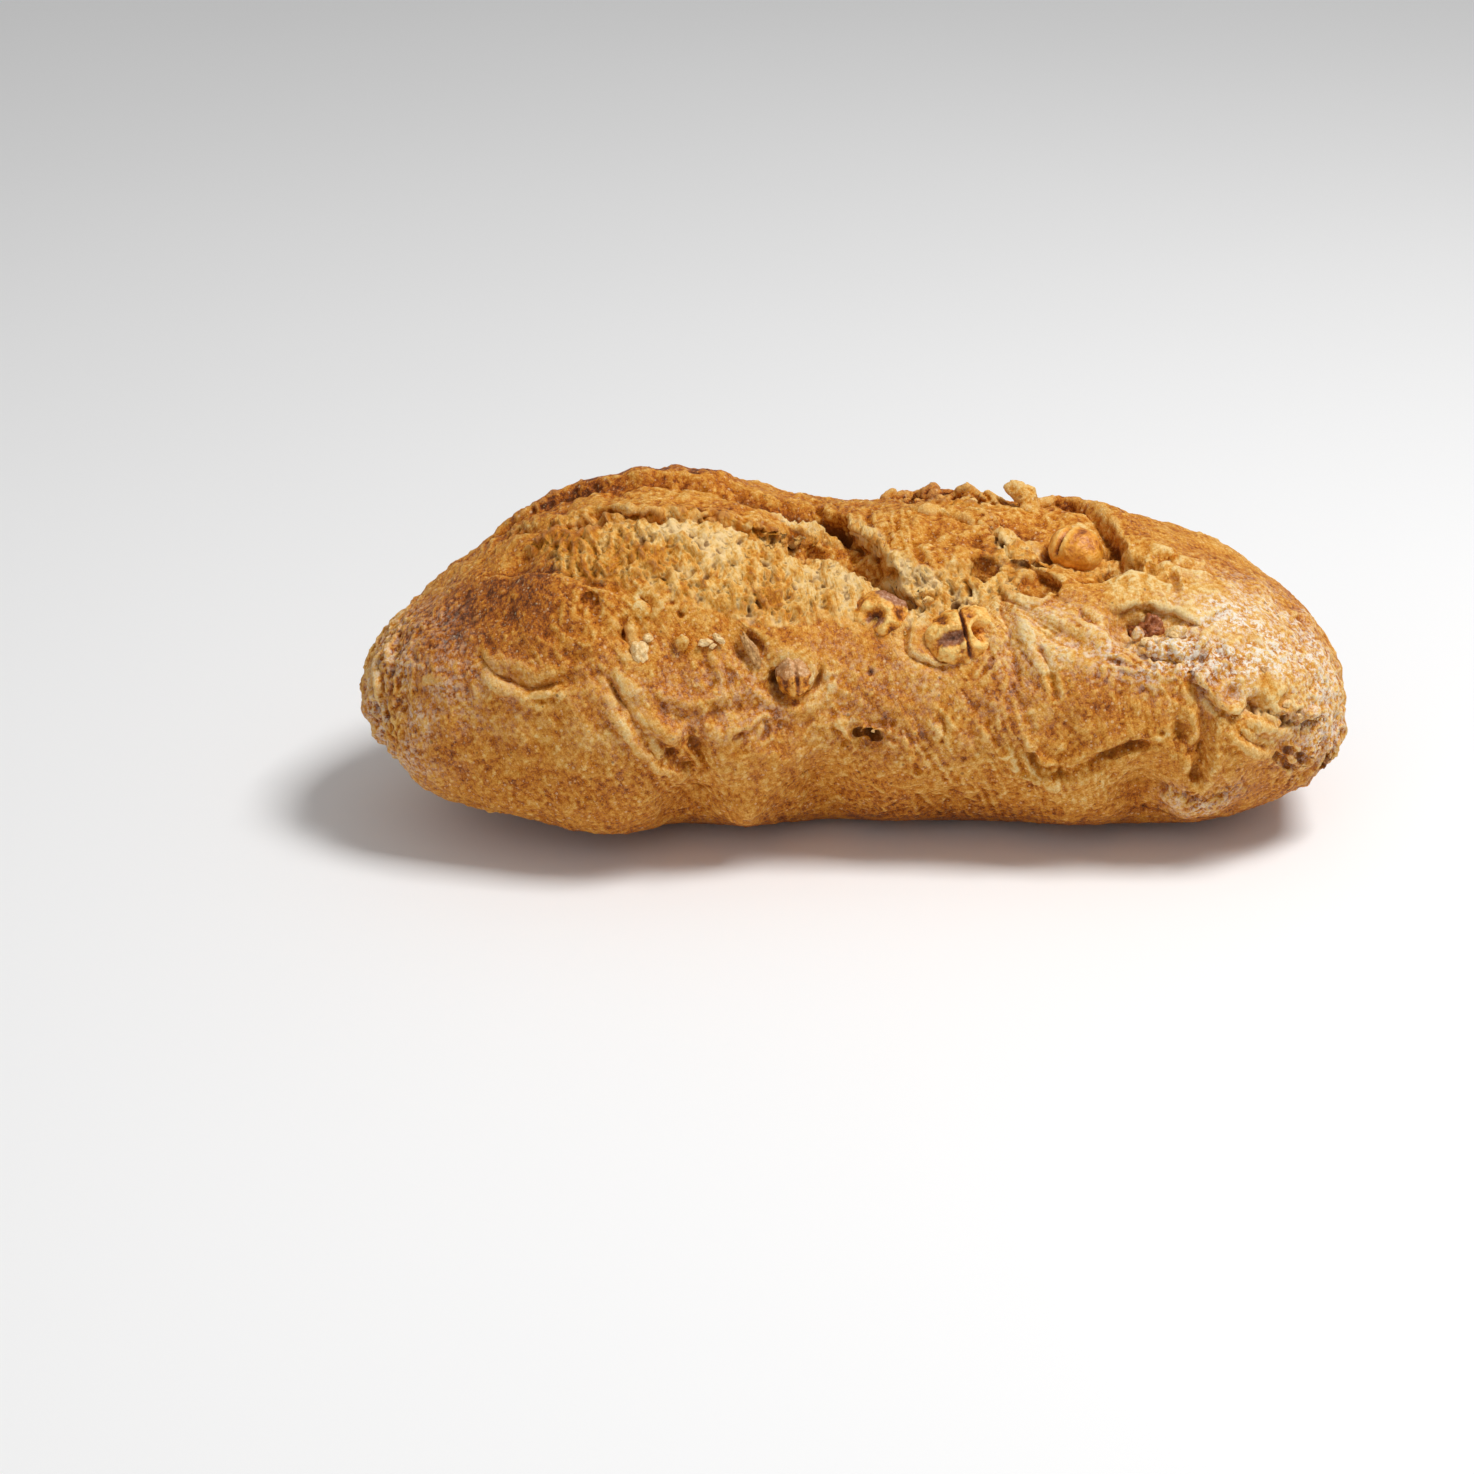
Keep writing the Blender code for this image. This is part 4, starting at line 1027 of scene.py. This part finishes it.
def rounds_for(reach):
    """How many rounds of smoothing even out the surface over reach millimetres."""
    return max(1, round((reach / FUSE_VOXEL) ** 2))


def sliced(whole, values, name, slices):
    """The skin of an object in slices along X that meet point by point, with the normals of the whole."""
    mesh = whole.data
    points, normals = points_of(mesh), normals_of(mesh)
    corners = np.empty(len(mesh.loops), np.int32)
    mesh.loops.foreach_get("vertex_index", corners)
    quads = corners.reshape(-1, 4)
    middles = points[quads, 0].mean(1)
    cuts = np.quantile(middles, np.arange(slices + 1) / slices)
    cuts[-1] += 1
    made = []
    for number in range(slices):
        chosen = quads[(middles >= cuts[number]) & (middles < cuts[number + 1])]
        used, faces = np.unique(chosen, return_inverse=True)
        piece = make_object(f"{name}_{number + 1}", points[used], faces.reshape(-1, 4).tolist())
        for key, numbers in values.items():
            store(piece.data, key, numbers[used])
        piece.data.shade_smooth()
        piece.data.normals_split_custom_set_from_vertices(normals[used].tolist())
        made.append(piece)
    bpy.data.objects.remove(whole)
    return made


# ---------------------------------------------------------------- the loaf


def fitted(points, shift):
    """The points in their place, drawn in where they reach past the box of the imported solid."""
    high = np.array(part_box("loaf")[1]) / MM
    points = points + shift
    over = np.maximum(np.abs(points).max(0) / high, 1) - 1
    over[2] = max(points[:, 2].max() / high[2] - 1, 0)
    return points / (1 + over)


def make_loaf(shift):
    """The loaf's skin, in slices."""
    points, faces = plain_loaf()
    loaf = make_object("bread", points, faces)
    move_points(loaf.data, pressed(points, normals_of(loaf.data)))
    stations = [*HORNS.values()]
    for seed, row in enumerate(SCRAPS, SCRAP_SEED):
        stations.extend(scraps(*row, seed))
    fuse(loaf, [make_object("scrap", *horn(one)) for one in stations], FUSE_VOXEL)
    keep_largest(loaf)
    points, normals = points_of(loaf.data), normals_of(loaf.data)
    sturdy = blend(SLENDER, STURDY, hollowness(loaf.data, points, normals, rounds_for(SLENDER_REACH)))
    points = roughened(points, normals, sturdy)
    move_points(loaf.data, points)
    normals = normals_of(loaf.data)
    push, torn_open = fine_relief(points)
    push *= np.clip(points[:, 2] / CALM_HEIGHT, FINE_CALMEST, 1) * sturdy
    points = points + normals * push[:, None]
    points[:, 2] = np.where(points[:, 2] < FLAT_HEIGHT, 0, points[:, 2])
    points = fitted(points, shift)
    move_points(loaf.data, points)
    normals = normals_of(loaf.data)
    place = points - shift
    deep = hollowness(loaf.data, points, normals, rounds_for(DEEP_REACH))
    values = {
        "torn": torn_open,
        "toasted": 0.5 + tinted(place, TOASTED),
        "hollow": hollowness(loaf.data, points, normals, rounds_for(HOLLOW_REACH)),
        "deep": deep - WALL_LESS_SHADE * zone(place, WALL),
        # the crust is painted darker near the floor, partly as shade and partly as darker baking
        "bake_and_shade": 0.5 + tinted(place, BAKED) + SOLE_SHADE_AND_BAKE * blend(*SOLE_HEIGHTS, points[:, 2]),
        "flour": tinted(place, FLOURED),
        # ragged sets how strong the painted shade in small hollows is
        "ragged": np.maximum(torn_open, 0.6 * zone(place, COMBED)),
        "grain": combed(place) * MM,
    }
    return sliced(loaf, values, "bread", SLICES)


# ---------------------------------------------------------------- walnuts

# Where a kernel keeps its skin: the place along its first two half lengths, and the half widths there
SKINS = {
    "walnut_half": ((-0.9, 0.3, 0.3, 0.5),),
    "walnut_broken": ((-0.3, -0.25, 0.3, 0.22), (0.9, -0.5, 0.25, 0.4)),
    "walnut_gash": ((0.35, 0.62, 0.55, 0.4), (-0.1, -0.5, 0.3, 0.2)),
    "walnut_front": ((0.0, 0.7, 1.2, 0.8),),
    "walnut_pit": ((0.0, 0.0, 0.8, 1.2),),
}
# What is broken off in the looks only, given like the hollows
BROKEN_OFF = {
    "walnut_broken": ((0.55, -0.2, 0.2, 0.3, 0.5),),
    "walnut_pit": ((-0.8, 0.0, 0.5, 1.4, 0.6),),
}


def round_ball(detail):
    """Points and faces of a ball with a radius of 1."""
    ball = bmesh.new()
    bmesh.ops.create_icosphere(ball, subdivisions=detail, radius=1)
    directions = unit(np.array([vert.co for vert in ball.verts]))
    faces = [[vert.index for vert in face.verts] for face in ball.faces]
    ball.free()
    return directions, faces


def kernel_frame(x, girth, depth, turn):
    """The middle of a kernel and its three directions: along X, up the crust and outwards."""
    outward = crust_normal(x, girth)
    along = unit(np.array([1.0, 0, 0]) - outward * outward[0])
    up = np.cross(outward, along)
    turn = np.radians(turn)
    along, up = along * np.cos(turn) + up * np.sin(turn), up * np.cos(turn) - along * np.sin(turn)
    return crust(x, girth) - outward * depth, np.array([along, up, outward])


def kernel(directions, half, seed, lobes, hollows):
    """Points of a lumpy kernel in its own frame, one for each direction from its middle."""
    radius = 1 / np.linalg.norm(directions / half, axis=1)
    radius = radius * (1 + lobes * noise(directions * np.array(half), LOBE_SIZE, seed))
    flat = directions[:, :2] * radius[:, None] / half[:2]
    for across, up, half_across, half_up, depth in hollows:
        offset = ((flat - (across, up)) / (half_across, half_up)) ** 2
        radius = radius * (1 - depth * np.exp(-(offset.sum(1) ** 2)) * (directions[:, 2] > 0))
    return directions * radius[:, None]


def kernel_object(name, seed, shift):
    """A walnut piece in its place, with the fine folds that its solid leaves out."""
    x, girth, depth, half, turn, lobes, hollows = KERNELS[name]
    directions, faces = round_ball(KERNEL_DETAIL)
    middle, axes = kernel_frame(x, girth, depth, turn)
    points = kernel(directions, half, seed, lobes, hollows + BROKEN_OFF.get(name, ()))
    folds = lobes * (2.0 * ridged(points, 2.4, seed + 30) + 1.0 * noise(points, 1.0, seed + 31) - 1.4)
    folds += 6 * max(lobes - 0.05, 0) * (cells(points, 2.4, seed + 34)[1] - 0.5)
    points = points + unit(points) * folds[:, None]
    walnut = make_object(name + "_kernel", middle + points @ axes + shift, faces)
    skin = -0.5 + 0.5 * noise(points, 2.2, seed + 32)
    for *skin_at, half_across, half_up in SKINS[name]:
        offset = (points[:, :2] / half[:2] - skin_at) / (half_across, half_up)
        skin = np.maximum(skin, 1.2 - (offset**2).sum(1) + 0.6 * noise(points, 1.4, seed + 33))
    store(walnut.data, "skin", blend(-0.15, 0.15, skin))
    normals = normals_of(walnut.data)
    points = points_of(walnut.data)
    # deep steers the painted shade in the kernel's hollows
    store(walnut.data, "deep", hollowness(walnut.data, points, normals, 4 ** (KERNEL_DETAIL - 3)))
    walnut.data.shade_smooth()
    return walnut


# Grains on the crust: x, girth, height of the middle over the crust, half lengths along x, up the crust and
# outwards, and turn about the crust's normal in degrees
GRAINS = {
    "chips": (
        (-35.3, 32.6, 0.3, (1.6, 0.9, 0.8), 8),
        (-32.2, 33.8, 0.3, (1.7, 0.8, 0.8), -38),
        (-33.6, 31.6, 0.1, (0.9, 0.6, 0.6), 30),
        (-50.3, 29.6, -0.2, (1.9, 2.6, 1.3), 10),
        (-48.4, 33.6, 0.1, (1.1, 1.0, 0.9), 0),
        (-62.4, 41.8, 0.2, (0.9, 0.6, 0.6), 30),
        (-75.5, -20.4, 0.2, (1.0, 0.7, 0.6), 30),
        (-72.1, -22.2, 0.2, (1.0, 0.6, 0.6), -20),
        (-84.0, -16.0, 0.2, (0.7, 0.5, 0.5), 60),
        (100.4, 22.5, 0.0, (1.2, 0.9, 0.8), 20),
        (103.4, 16.4, 0.0, (1.0, 0.8, 0.7), -30),
        (66.8, 40.2, 0.1, (1.3, 0.8, 0.7), 20),
        (73.4, 43.4, 0.1, (1.2, 0.8, 0.7), -20),
    ),
    "seeds": (
        (-24.6, 31.4, -0.6, (1.2, 4.4, 1.0), 30),
        (94.8, 36.0, -0.2, (1.4, 1.1, 0.9), 10),
    ),
}


def grains(rows, seed, shift):
    """Points and faces of a few small lumps on the crust."""
    directions, ball_faces = round_ball(GRAIN_DETAIL)
    points, faces = [], []
    for number, (x, girth, height, half, turn) in enumerate(rows):
        middle, axes = kernel_frame(x, girth, -height, turn)
        uneven = 0.35 * noise(directions, 0.8, seed + number) + 0.25 * noise(directions, 0.35, seed + number)
        lump = directions * (1 + uneven)[:, None] * half
        points.append(middle + lump @ axes + shift)
        faces.extend((np.array(ball_faces) + number * len(directions)).tolist())
    return np.vstack(points), faces


# ---------------------------------------------------------------- materials


def linear(red, green, blue):
    """A colour from 0 to 255, as light."""
    share = np.array([red, green, blue]) / 255
    light = np.where(share <= 0.04045, share / 12.92, ((share + 0.055) / 1.055) ** 2.4)
    return (*light.tolist(), 1.0)


class Nodes:
    """Adds nodes to one material, and gives back their outputs."""

    def __init__(self, name):
        self.material = bpy.data.materials.new(name)
        self.material.use_nodes = True
        self.tree = self.material.node_tree
        self.shader = self.tree.nodes["Principled BSDF"]
        self.place = self.tree.nodes.new("ShaderNodeTexCoord").outputs["Object"]

    def set(self, socket, value):
        if isinstance(value, bpy.types.NodeSocket):
            self.tree.links.new(value, socket)
        else:
            socket.default_value = value

    def value(self, name, output="Fac"):
        node = self.tree.nodes.new("ShaderNodeAttribute")
        node.attribute_name = name
        return node.outputs[output]

    def about(self, value, height):
        """value, which lies from 0 to 1, as a swing about 0 of that height in all."""
        return self.math("MULTIPLY_ADD", value, height, -0.5 * height)

    def math(self, operation, *values, clamp=False):
        node = self.tree.nodes.new("ShaderNodeMath")
        node.operation = operation
        node.use_clamp = clamp
        for socket, value in zip(node.inputs, values):
            self.set(socket, value)
        return node.outputs["Value"]

    def span(self, value, low, high, to_low=0.0, to_high=1.0):
        """value from low to high becomes to_low to to_high, and stays within them."""
        node = self.tree.nodes.new("ShaderNodeMapRange")
        node.interpolation_type = "SMOOTHSTEP"
        for socket, number in zip(node.inputs, (value, low, high, to_low, to_high)):
            self.set(socket, number)
        return node.outputs["Result"]

    def noise(self, size_mm, detail=3.0, stretch=(1, 1, 1), roughness=0.55, seed=0, place=None):
        mapping = self.tree.nodes.new("ShaderNodeMapping")
        self.set(mapping.inputs["Vector"], place or self.place)
        mapping.inputs["Location"].default_value = (7.3 * seed, 3.1 * seed, 5.7 * seed)
        mapping.inputs["Scale"].default_value = [1 / (size_mm * MM * s) for s in stretch]
        node = self.tree.nodes.new("ShaderNodeTexNoise")
        node.inputs["Scale"].default_value = 1.0
        node.inputs["Detail"].default_value = detail
        node.inputs["Roughness"].default_value = roughness
        self.set(node.inputs["Vector"], mapping.outputs["Vector"])
        return node.outputs["Fac"]

    def specks(self, size_mm, reach, share):
        """1 in the middle of scattered specks, 0 between them. share of the cells hold one."""
        node = self.tree.nodes.new("ShaderNodeTexVoronoi")
        node.inputs["Scale"].default_value = 1 / (size_mm * MM)
        self.set(node.inputs["Vector"], self.place)
        split = self.tree.nodes.new("ShaderNodeSeparateColor")
        self.set(split.inputs["Color"], node.outputs["Color"])
        chosen = self.math("LESS_THAN", split.outputs["Red"], share)
        size = self.math("MULTIPLY_ADD", split.outputs["Green"], 0.6 * reach, 0.4 * reach)
        inside = self.span(self.math("DIVIDE", node.outputs["Distance"], size), 0.7, 1.0, 1.0, 0.0)
        return self.math("MULTIPLY", inside, chosen)

    def folds(self, size_mm, detail=2.0, stretch=(1, 1, 1), seed=0, place=None):
        """Noise with sharp crests."""
        waves = self.noise(size_mm, detail, stretch, seed=seed, place=place)
        away = self.math("ABSOLUTE", self.math("SUBTRACT", waves, 0.5))
        return self.math("MULTIPLY_ADD", away, -4.0, 1.0)

    def mix(self, share, low, high):
        node = self.tree.nodes.new("ShaderNodeMix")
        node.data_type = "RGBA"
        for name, value in zip(("Factor_Float", "A_Color", "B_Color"), (share, low, high)):
            socket = next(s for s in node.inputs if s.identifier == name)
            self.set(socket, value)
        return next(s for s in node.outputs if s.identifier == "Result_Color")

    def ramp(self, share, stops):
        node = self.tree.nodes.new("ShaderNodeValToRGB")
        while len(node.color_ramp.elements) < len(stops):
            node.color_ramp.elements.new(0.5)
        for element, (position, colour) in zip(node.color_ramp.elements, stops):
            element.position = position
            element.color = linear(*colour)
        self.set(node.inputs["Fac"], share)
        return node.outputs["Color"]

    def bump(self, height, distance_mm, strength=1.0, under=None):
        node = self.tree.nodes.new("ShaderNodeBump")
        node.inputs["Distance"].default_value = distance_mm * MM
        node.inputs["Strength"].default_value = strength
        self.set(node.inputs["Height"], height)
        if under is not None:
            self.set(node.inputs["Normal"], under)
        return node.outputs["Normal"]


CRUST_RAMP = (
    (0.0, (250, 216, 148)),
    (0.22, (238, 182, 92)),
    (0.45, (220, 148, 48)),
    (0.65, (198, 114, 18)),
    (0.82, (158, 80, 10)),
    (1.0, (98, 48, 8)),
)
CRUMB_RAMP = (
    (0.0, (252, 218, 158)),
    (0.25, (248, 206, 130)),
    (0.45, (236, 178, 84)),
    (0.65, (222, 146, 42)),
    (1.0, (180, 102, 18)),
)
FLOUR = (252, 240, 222)


def crust_material():
    """Mottled crust and torn crumb, with bran, flour, pale flecks that are partly painted glints, and painted
    shade in the hollows.
    """
    n = Nodes("baked_crust")
    torn_open, hollow, deep = n.value("torn"), n.value("hollow"), n.value("deep")
    grain = n.value("grain", "Vector")
    strands = n.folds(0.9, 3, (1, 9, 9), 5, grain)
    clouds = n.math("MULTIPLY_ADD", n.noise(16, 3), 0.6, n.math("MULTIPLY", n.noise(4, 3), 0.6))
    sand = n.math("MULTIPLY", n.noise(0.4, 2), 0.7)
    sand = n.math("MULTIPLY_ADD", n.noise(0.9, 4, roughness=0.8), 0.9, sand)
    sand = n.math("MULTIPLY_ADD", strands, -0.16, sand)
    uneven = n.math("SUBTRACT", n.math("ADD", clouds, sand), 1.33)
    # partly painted shade: small hollows darker; crests paler as drier, floury crust
    raised = n.span(hollow, 0.12, -0.16, 0.24, -0.20)
    bake_and_shade = n.math("ADD", n.math("ADD", n.value("bake_and_shade"), uneven), raised, clamp=True)
    crust_colour = n.ramp(bake_and_shade, CRUST_RAMP)
    # pale flecks of flour and blisters, partly painted glints
    flecks_and_glints = n.math("MULTIPLY", n.span(n.noise(0.9, 3, roughness=0.8, seed=1), 0.58, 0.70), 0.5)
    crust_colour = n.mix(flecks_and_glints, crust_colour, linear(250, 218, 166))
    bran = n.math("MULTIPLY", n.specks(1.5, 0.3, 0.4), 0.4)
    crust_colour = n.mix(bran, crust_colour, linear(255, 228, 180))
    burnt = n.math("MULTIPLY", n.span(n.noise(1.1, 3, roughness=0.8, seed=2), 0.60, 0.72), 0.5)
    burnt = n.math("MAXIMUM", burnt, n.math("MULTIPLY", n.specks(2.7, 0.2, 0.25), 0.6))
    crust_colour = n.mix(burnt, crust_colour, linear(116, 54, 14))
    toast = n.math("ADD", n.value("toasted"), n.about(n.noise(2.4, 4, (1, 2.5, 2.5)), 1.6))
    toast = n.math("ADD", toast, n.about(n.noise(0.7, 3, (1, 2, 2), 0.75), 1.2))
    toast = n.math("ADD", toast, n.about(n.noise(9, 2), 1.1))
    toast = n.math("MULTIPLY_ADD", strands, -0.3, n.math("ADD", toast, 0.14))
    toast = n.math("ADD", toast, n.span(hollow, 0.1, -0.1, -0.1, 0.1), clamp=True)
    crumb_colour = n.ramp(toast, CRUMB_RAMP)
    colour = n.mix(torn_open, crust_colour, crumb_colour)
    powder = n.span(n.noise(1.2, 4, roughness=0.75), 0.44, 0.62)
    powder = n.math("MULTIPLY", powder, n.span(n.noise(9, 2), 0.3, 0.6))
    colour = n.mix(n.math("MULTIPLY", n.value("flour"), powder, clamp=True), colour, linear(*FLOUR))
    # painted shade: darker in the deeper hollows, near black in the deepest
    colour = n.mix(n.span(deep, 0.25, 1.2, 0.0, 0.75), colour, linear(108, 58, 20))
    colour = n.mix(n.span(deep, 1.1, 2.3, 0.0, 0.9), colour, linear(42, 20, 8))
    # painted shade in small hollows, stronger on torn crumb and combed crust
    shaded = n.math("MULTIPLY_ADD", n.value("ragged"), 0.35, 0.15)
    shaded = n.math("MULTIPLY", n.span(hollow, 0.04, 0.26), shaded)
    colour = n.mix(shaded, colour, linear(116, 62, 18))
    colour = n.mix(n.span(hollow, -0.06, -0.24, 0.0, 0.12), colour, linear(252, 220, 162))
    n.set(n.shader.inputs["Base Color"], colour)
    glossy = n.math("MULTIPLY", n.span(n.noise(0.8, 3, seed=6), 0.55, 0.66), -0.25)
    n.set(n.shader.inputs["Roughness"], n.math("ADD", n.span(bake_and_shade, 0.2, 0.9, 0.74, 0.5), glossy))
    n.set(n.shader.inputs["Specular IOR Level"], n.span(hollow, 0.0, 0.16, 0.28, 0.04))
    rough = n.bump(n.noise(0.6, 4, roughness=0.75), 0.5, 1.0)
    rough = n.bump(strands, 0.25, 0.5, rough)
    rough = n.bump(n.folds(1.6, 3, seed=3), 0.14, 0.5, rough)
    rough = n.bump(n.folds(3.4, 2, seed=4), 0.25, 0.4, rough)
    n.set(n.shader.inputs["Normal"], rough)
    return n.material


WALNUT_RAMP = (
    (0.0, (112, 54, 8)),
    (0.25, (188, 106, 16)),
    (0.5, (232, 156, 44)),
    (1.0, (252, 212, 126)),
)
MOTTLED = {"walnut_half": 0.7}  # how uneven a kernel's flesh looks
MORE_MOTTLED = 1.4  # broken kernels
WALNUT_SKINS = {  # thin skin of each kernel
    "walnut_half": ((0.25, (160, 96, 34)), (0.5, (196, 128, 52)), (0.75, (226, 166, 88))),
    "walnut_broken": ((0.25, (100, 52, 24)), (0.5, (150, 92, 56)), (0.75, (200, 156, 128))),
    "walnut_gash": ((0.25, (110, 56, 24)), (0.5, (168, 108, 68)), (0.75, (224, 188, 164))),
    "walnut_front": ((0.25, (164, 100, 46)), (0.5, (206, 150, 92)), (0.75, (240, 208, 166))),
    "walnut_pit": ((0.25, (96, 44, 20)), (0.5, (160, 88, 42)), (0.75, (212, 144, 84))),
}


def walnut_material(name, skin_ramp, mottled):
    """Golden flesh under a thin skin, with painted shade in its hollows and painted highlights on its bulges.
    """
    n = Nodes(name)
    # painted shade in the hollows and painted highlights on the bulges, with uneven mottling
    painted_light_and_mottling = n.span(n.value("deep"), 0.4, -0.9, -0.1, 0.85)
    painted_light_and_mottling = n.math("ADD", painted_light_and_mottling, n.about(n.noise(2, 3), 0.9))
    painted_light_and_mottling = n.math("ADD", painted_light_and_mottling, n.about(n.noise(0.7, 4, roughness=0.75), mottled), clamp=True)
    flesh = n.ramp(painted_light_and_mottling, WALNUT_RAMP)
    skin = n.ramp(n.noise(1.0, 4, roughness=0.75), skin_ramp)
    colour = n.mix(n.value("skin"), flesh, skin)
    # painted shade in the deepest hollows
    colour = n.mix(n.span(n.value("deep"), 0.2, 0.9, 0.0, 0.85), colour, linear(70, 34, 14))
    n.set(n.shader.inputs["Base Color"], colour)
    n.shader.inputs["Roughness"].default_value = 0.4
    n.shader.inputs["Specular IOR Level"].default_value = 0.5
    rough = n.bump(n.noise(0.7, 4, roughness=0.65), 0.3 * mottled, 0.8)
    n.set(n.shader.inputs["Normal"], n.bump(n.folds(2.2, 2), 0.3 * mottled, 0.7, rough))
    return n.material


GRAIN_RAMPS = {
    "chips": ((0.3, (190, 138, 72)), (0.5, (232, 194, 130)), (0.7, (250, 226, 178))),
    "seeds": ((0.3, (140, 92, 40)), (0.5, (184, 134, 72)), (0.7, (226, 184, 122))),
}


def grain_material(name, colours):
    n = Nodes(name)
    n.set(n.shader.inputs["Base Color"], n.ramp(n.noise(0.8, 4, roughness=0.7), colours))
    n.shader.inputs["Roughness"].default_value = 0.5
    n.set(n.shader.inputs["Normal"], n.bump(n.noise(0.5, 3), 0.2, 0.8))
    return n.material


# ---------------------------------------------------------------- floor, light and camera

CAMERA_ELEVATION = 24.5  # degrees
CAMERA_DISTANCE = 886.0
CAMERA_LENS = 88.2
LOOKED_AT = (-28.0, -3.0, 16.6)


FLOOR_HALF = 3000
FLOOR_RAMP = ((0.0, (238, 238, 238)), (1.0, (243, 243, 243)))
WORLD_LIGHT = 0.36
# Place and size in metres, and watts
LIGHTS = {"key": ((0.45, -0.15, 1.0), 0.35, 9.7), "fill": ((-0.5, -1.1, 0.7), 0.9, 1.8)}
LIT_PLACE = (0, 0, 0.03)


def make_floor():
    corners = [(x * FLOOR_HALF, y * FLOOR_HALF, 0) for x, y in ((-1, -1), (1, -1), (1, 1), (-1, 1))]
    floor = make_object("floor", corners, [(0, 1, 2, 3)])
    n = Nodes("pale_floor")
    n.set(n.shader.inputs["Base Color"], n.ramp(n.noise(400, 2), FLOOR_RAMP))
    n.shader.inputs["Roughness"].default_value = 0.9
    floor.data.materials.append(n.material)


def add_light(name, place, size, watts):
    """A soft square light that looks at the loaf."""
    light = bpy.data.lights.new(name, "AREA")
    light.size = size
    light.energy = watts
    lamp = bpy.data.objects.new(name, light)
    lamp.location = place
    lamp.rotation_mode = "QUATERNION"
    lamp.rotation_quaternion = (Vector(LIT_PLACE) - Vector(place)).to_track_quat("-Z", "Y")
    bpy.context.scene.collection.objects.link(lamp)


def light_and_camera():
    world = bpy.data.worlds.new("studio")
    world.use_nodes = True
    world.node_tree.nodes["Background"].inputs["Color"].default_value = (1, 1, 1, 1)
    world.node_tree.nodes["Background"].inputs["Strength"].default_value = WORLD_LIGHT
    scene = bpy.context.scene
    scene.world = world
    for name, (place, size, watts) in LIGHTS.items():
        add_light(name, place, size, watts)
    camera = bpy.data.objects.new("camera", bpy.data.cameras.new("camera"))
    camera.data.lens = CAMERA_LENS
    tilt = np.radians(CAMERA_ELEVATION)
    back = Vector((0, -np.cos(tilt), np.sin(tilt)))
    camera.location = (Vector(LOOKED_AT) + back * CAMERA_DISTANCE) * MM
    camera.rotation_mode = "QUATERNION"
    camera.rotation_quaternion = (-back).to_track_quat("-Z", "Y")
    scene.collection.objects.link(camera)
    scene.camera = camera
    scene.view_settings.view_transform = "Standard"


# ---------------------------------------------------------------- the scene


def cad_shift():
    """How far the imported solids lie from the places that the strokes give."""
    name = "walnut_half"
    low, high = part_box(name)
    trial = kernel_object(name, KERNEL_SEED, np.zeros(3))
    points = points_of(trial.data)
    bpy.data.objects.remove(trial)
    return (np.array(low) + np.array(high)) / 2 / MM - (points.min(0) + points.max(0)) / 2


shift = cad_shift() * (1, 1, 0)
crust_look = crust_material()
for bread in make_loaf(shift):
    bread.data.materials.append(crust_look)
    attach(bread, "root")
    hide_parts("loaf")

for seed, name in enumerate(KERNELS, KERNEL_SEED):
    walnut = kernel_object(name, seed, shift)
    walnut_look = walnut_material(name + "_flesh", WALNUT_SKINS[name], MOTTLED.get(name, MORE_MOTTLED))
    walnut.data.materials.append(walnut_look)
    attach(walnut, "root")
    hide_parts(name)

for name, rows in GRAINS.items():
    lumps = make_object(name, *grains(rows, GRAIN_SEED, shift))
    lumps.data.shade_smooth()
    lumps.data.materials.append(grain_material(name + "_skin", GRAIN_RAMPS[name]))
    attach(lumps, "root")

make_floor()
light_and_camera()
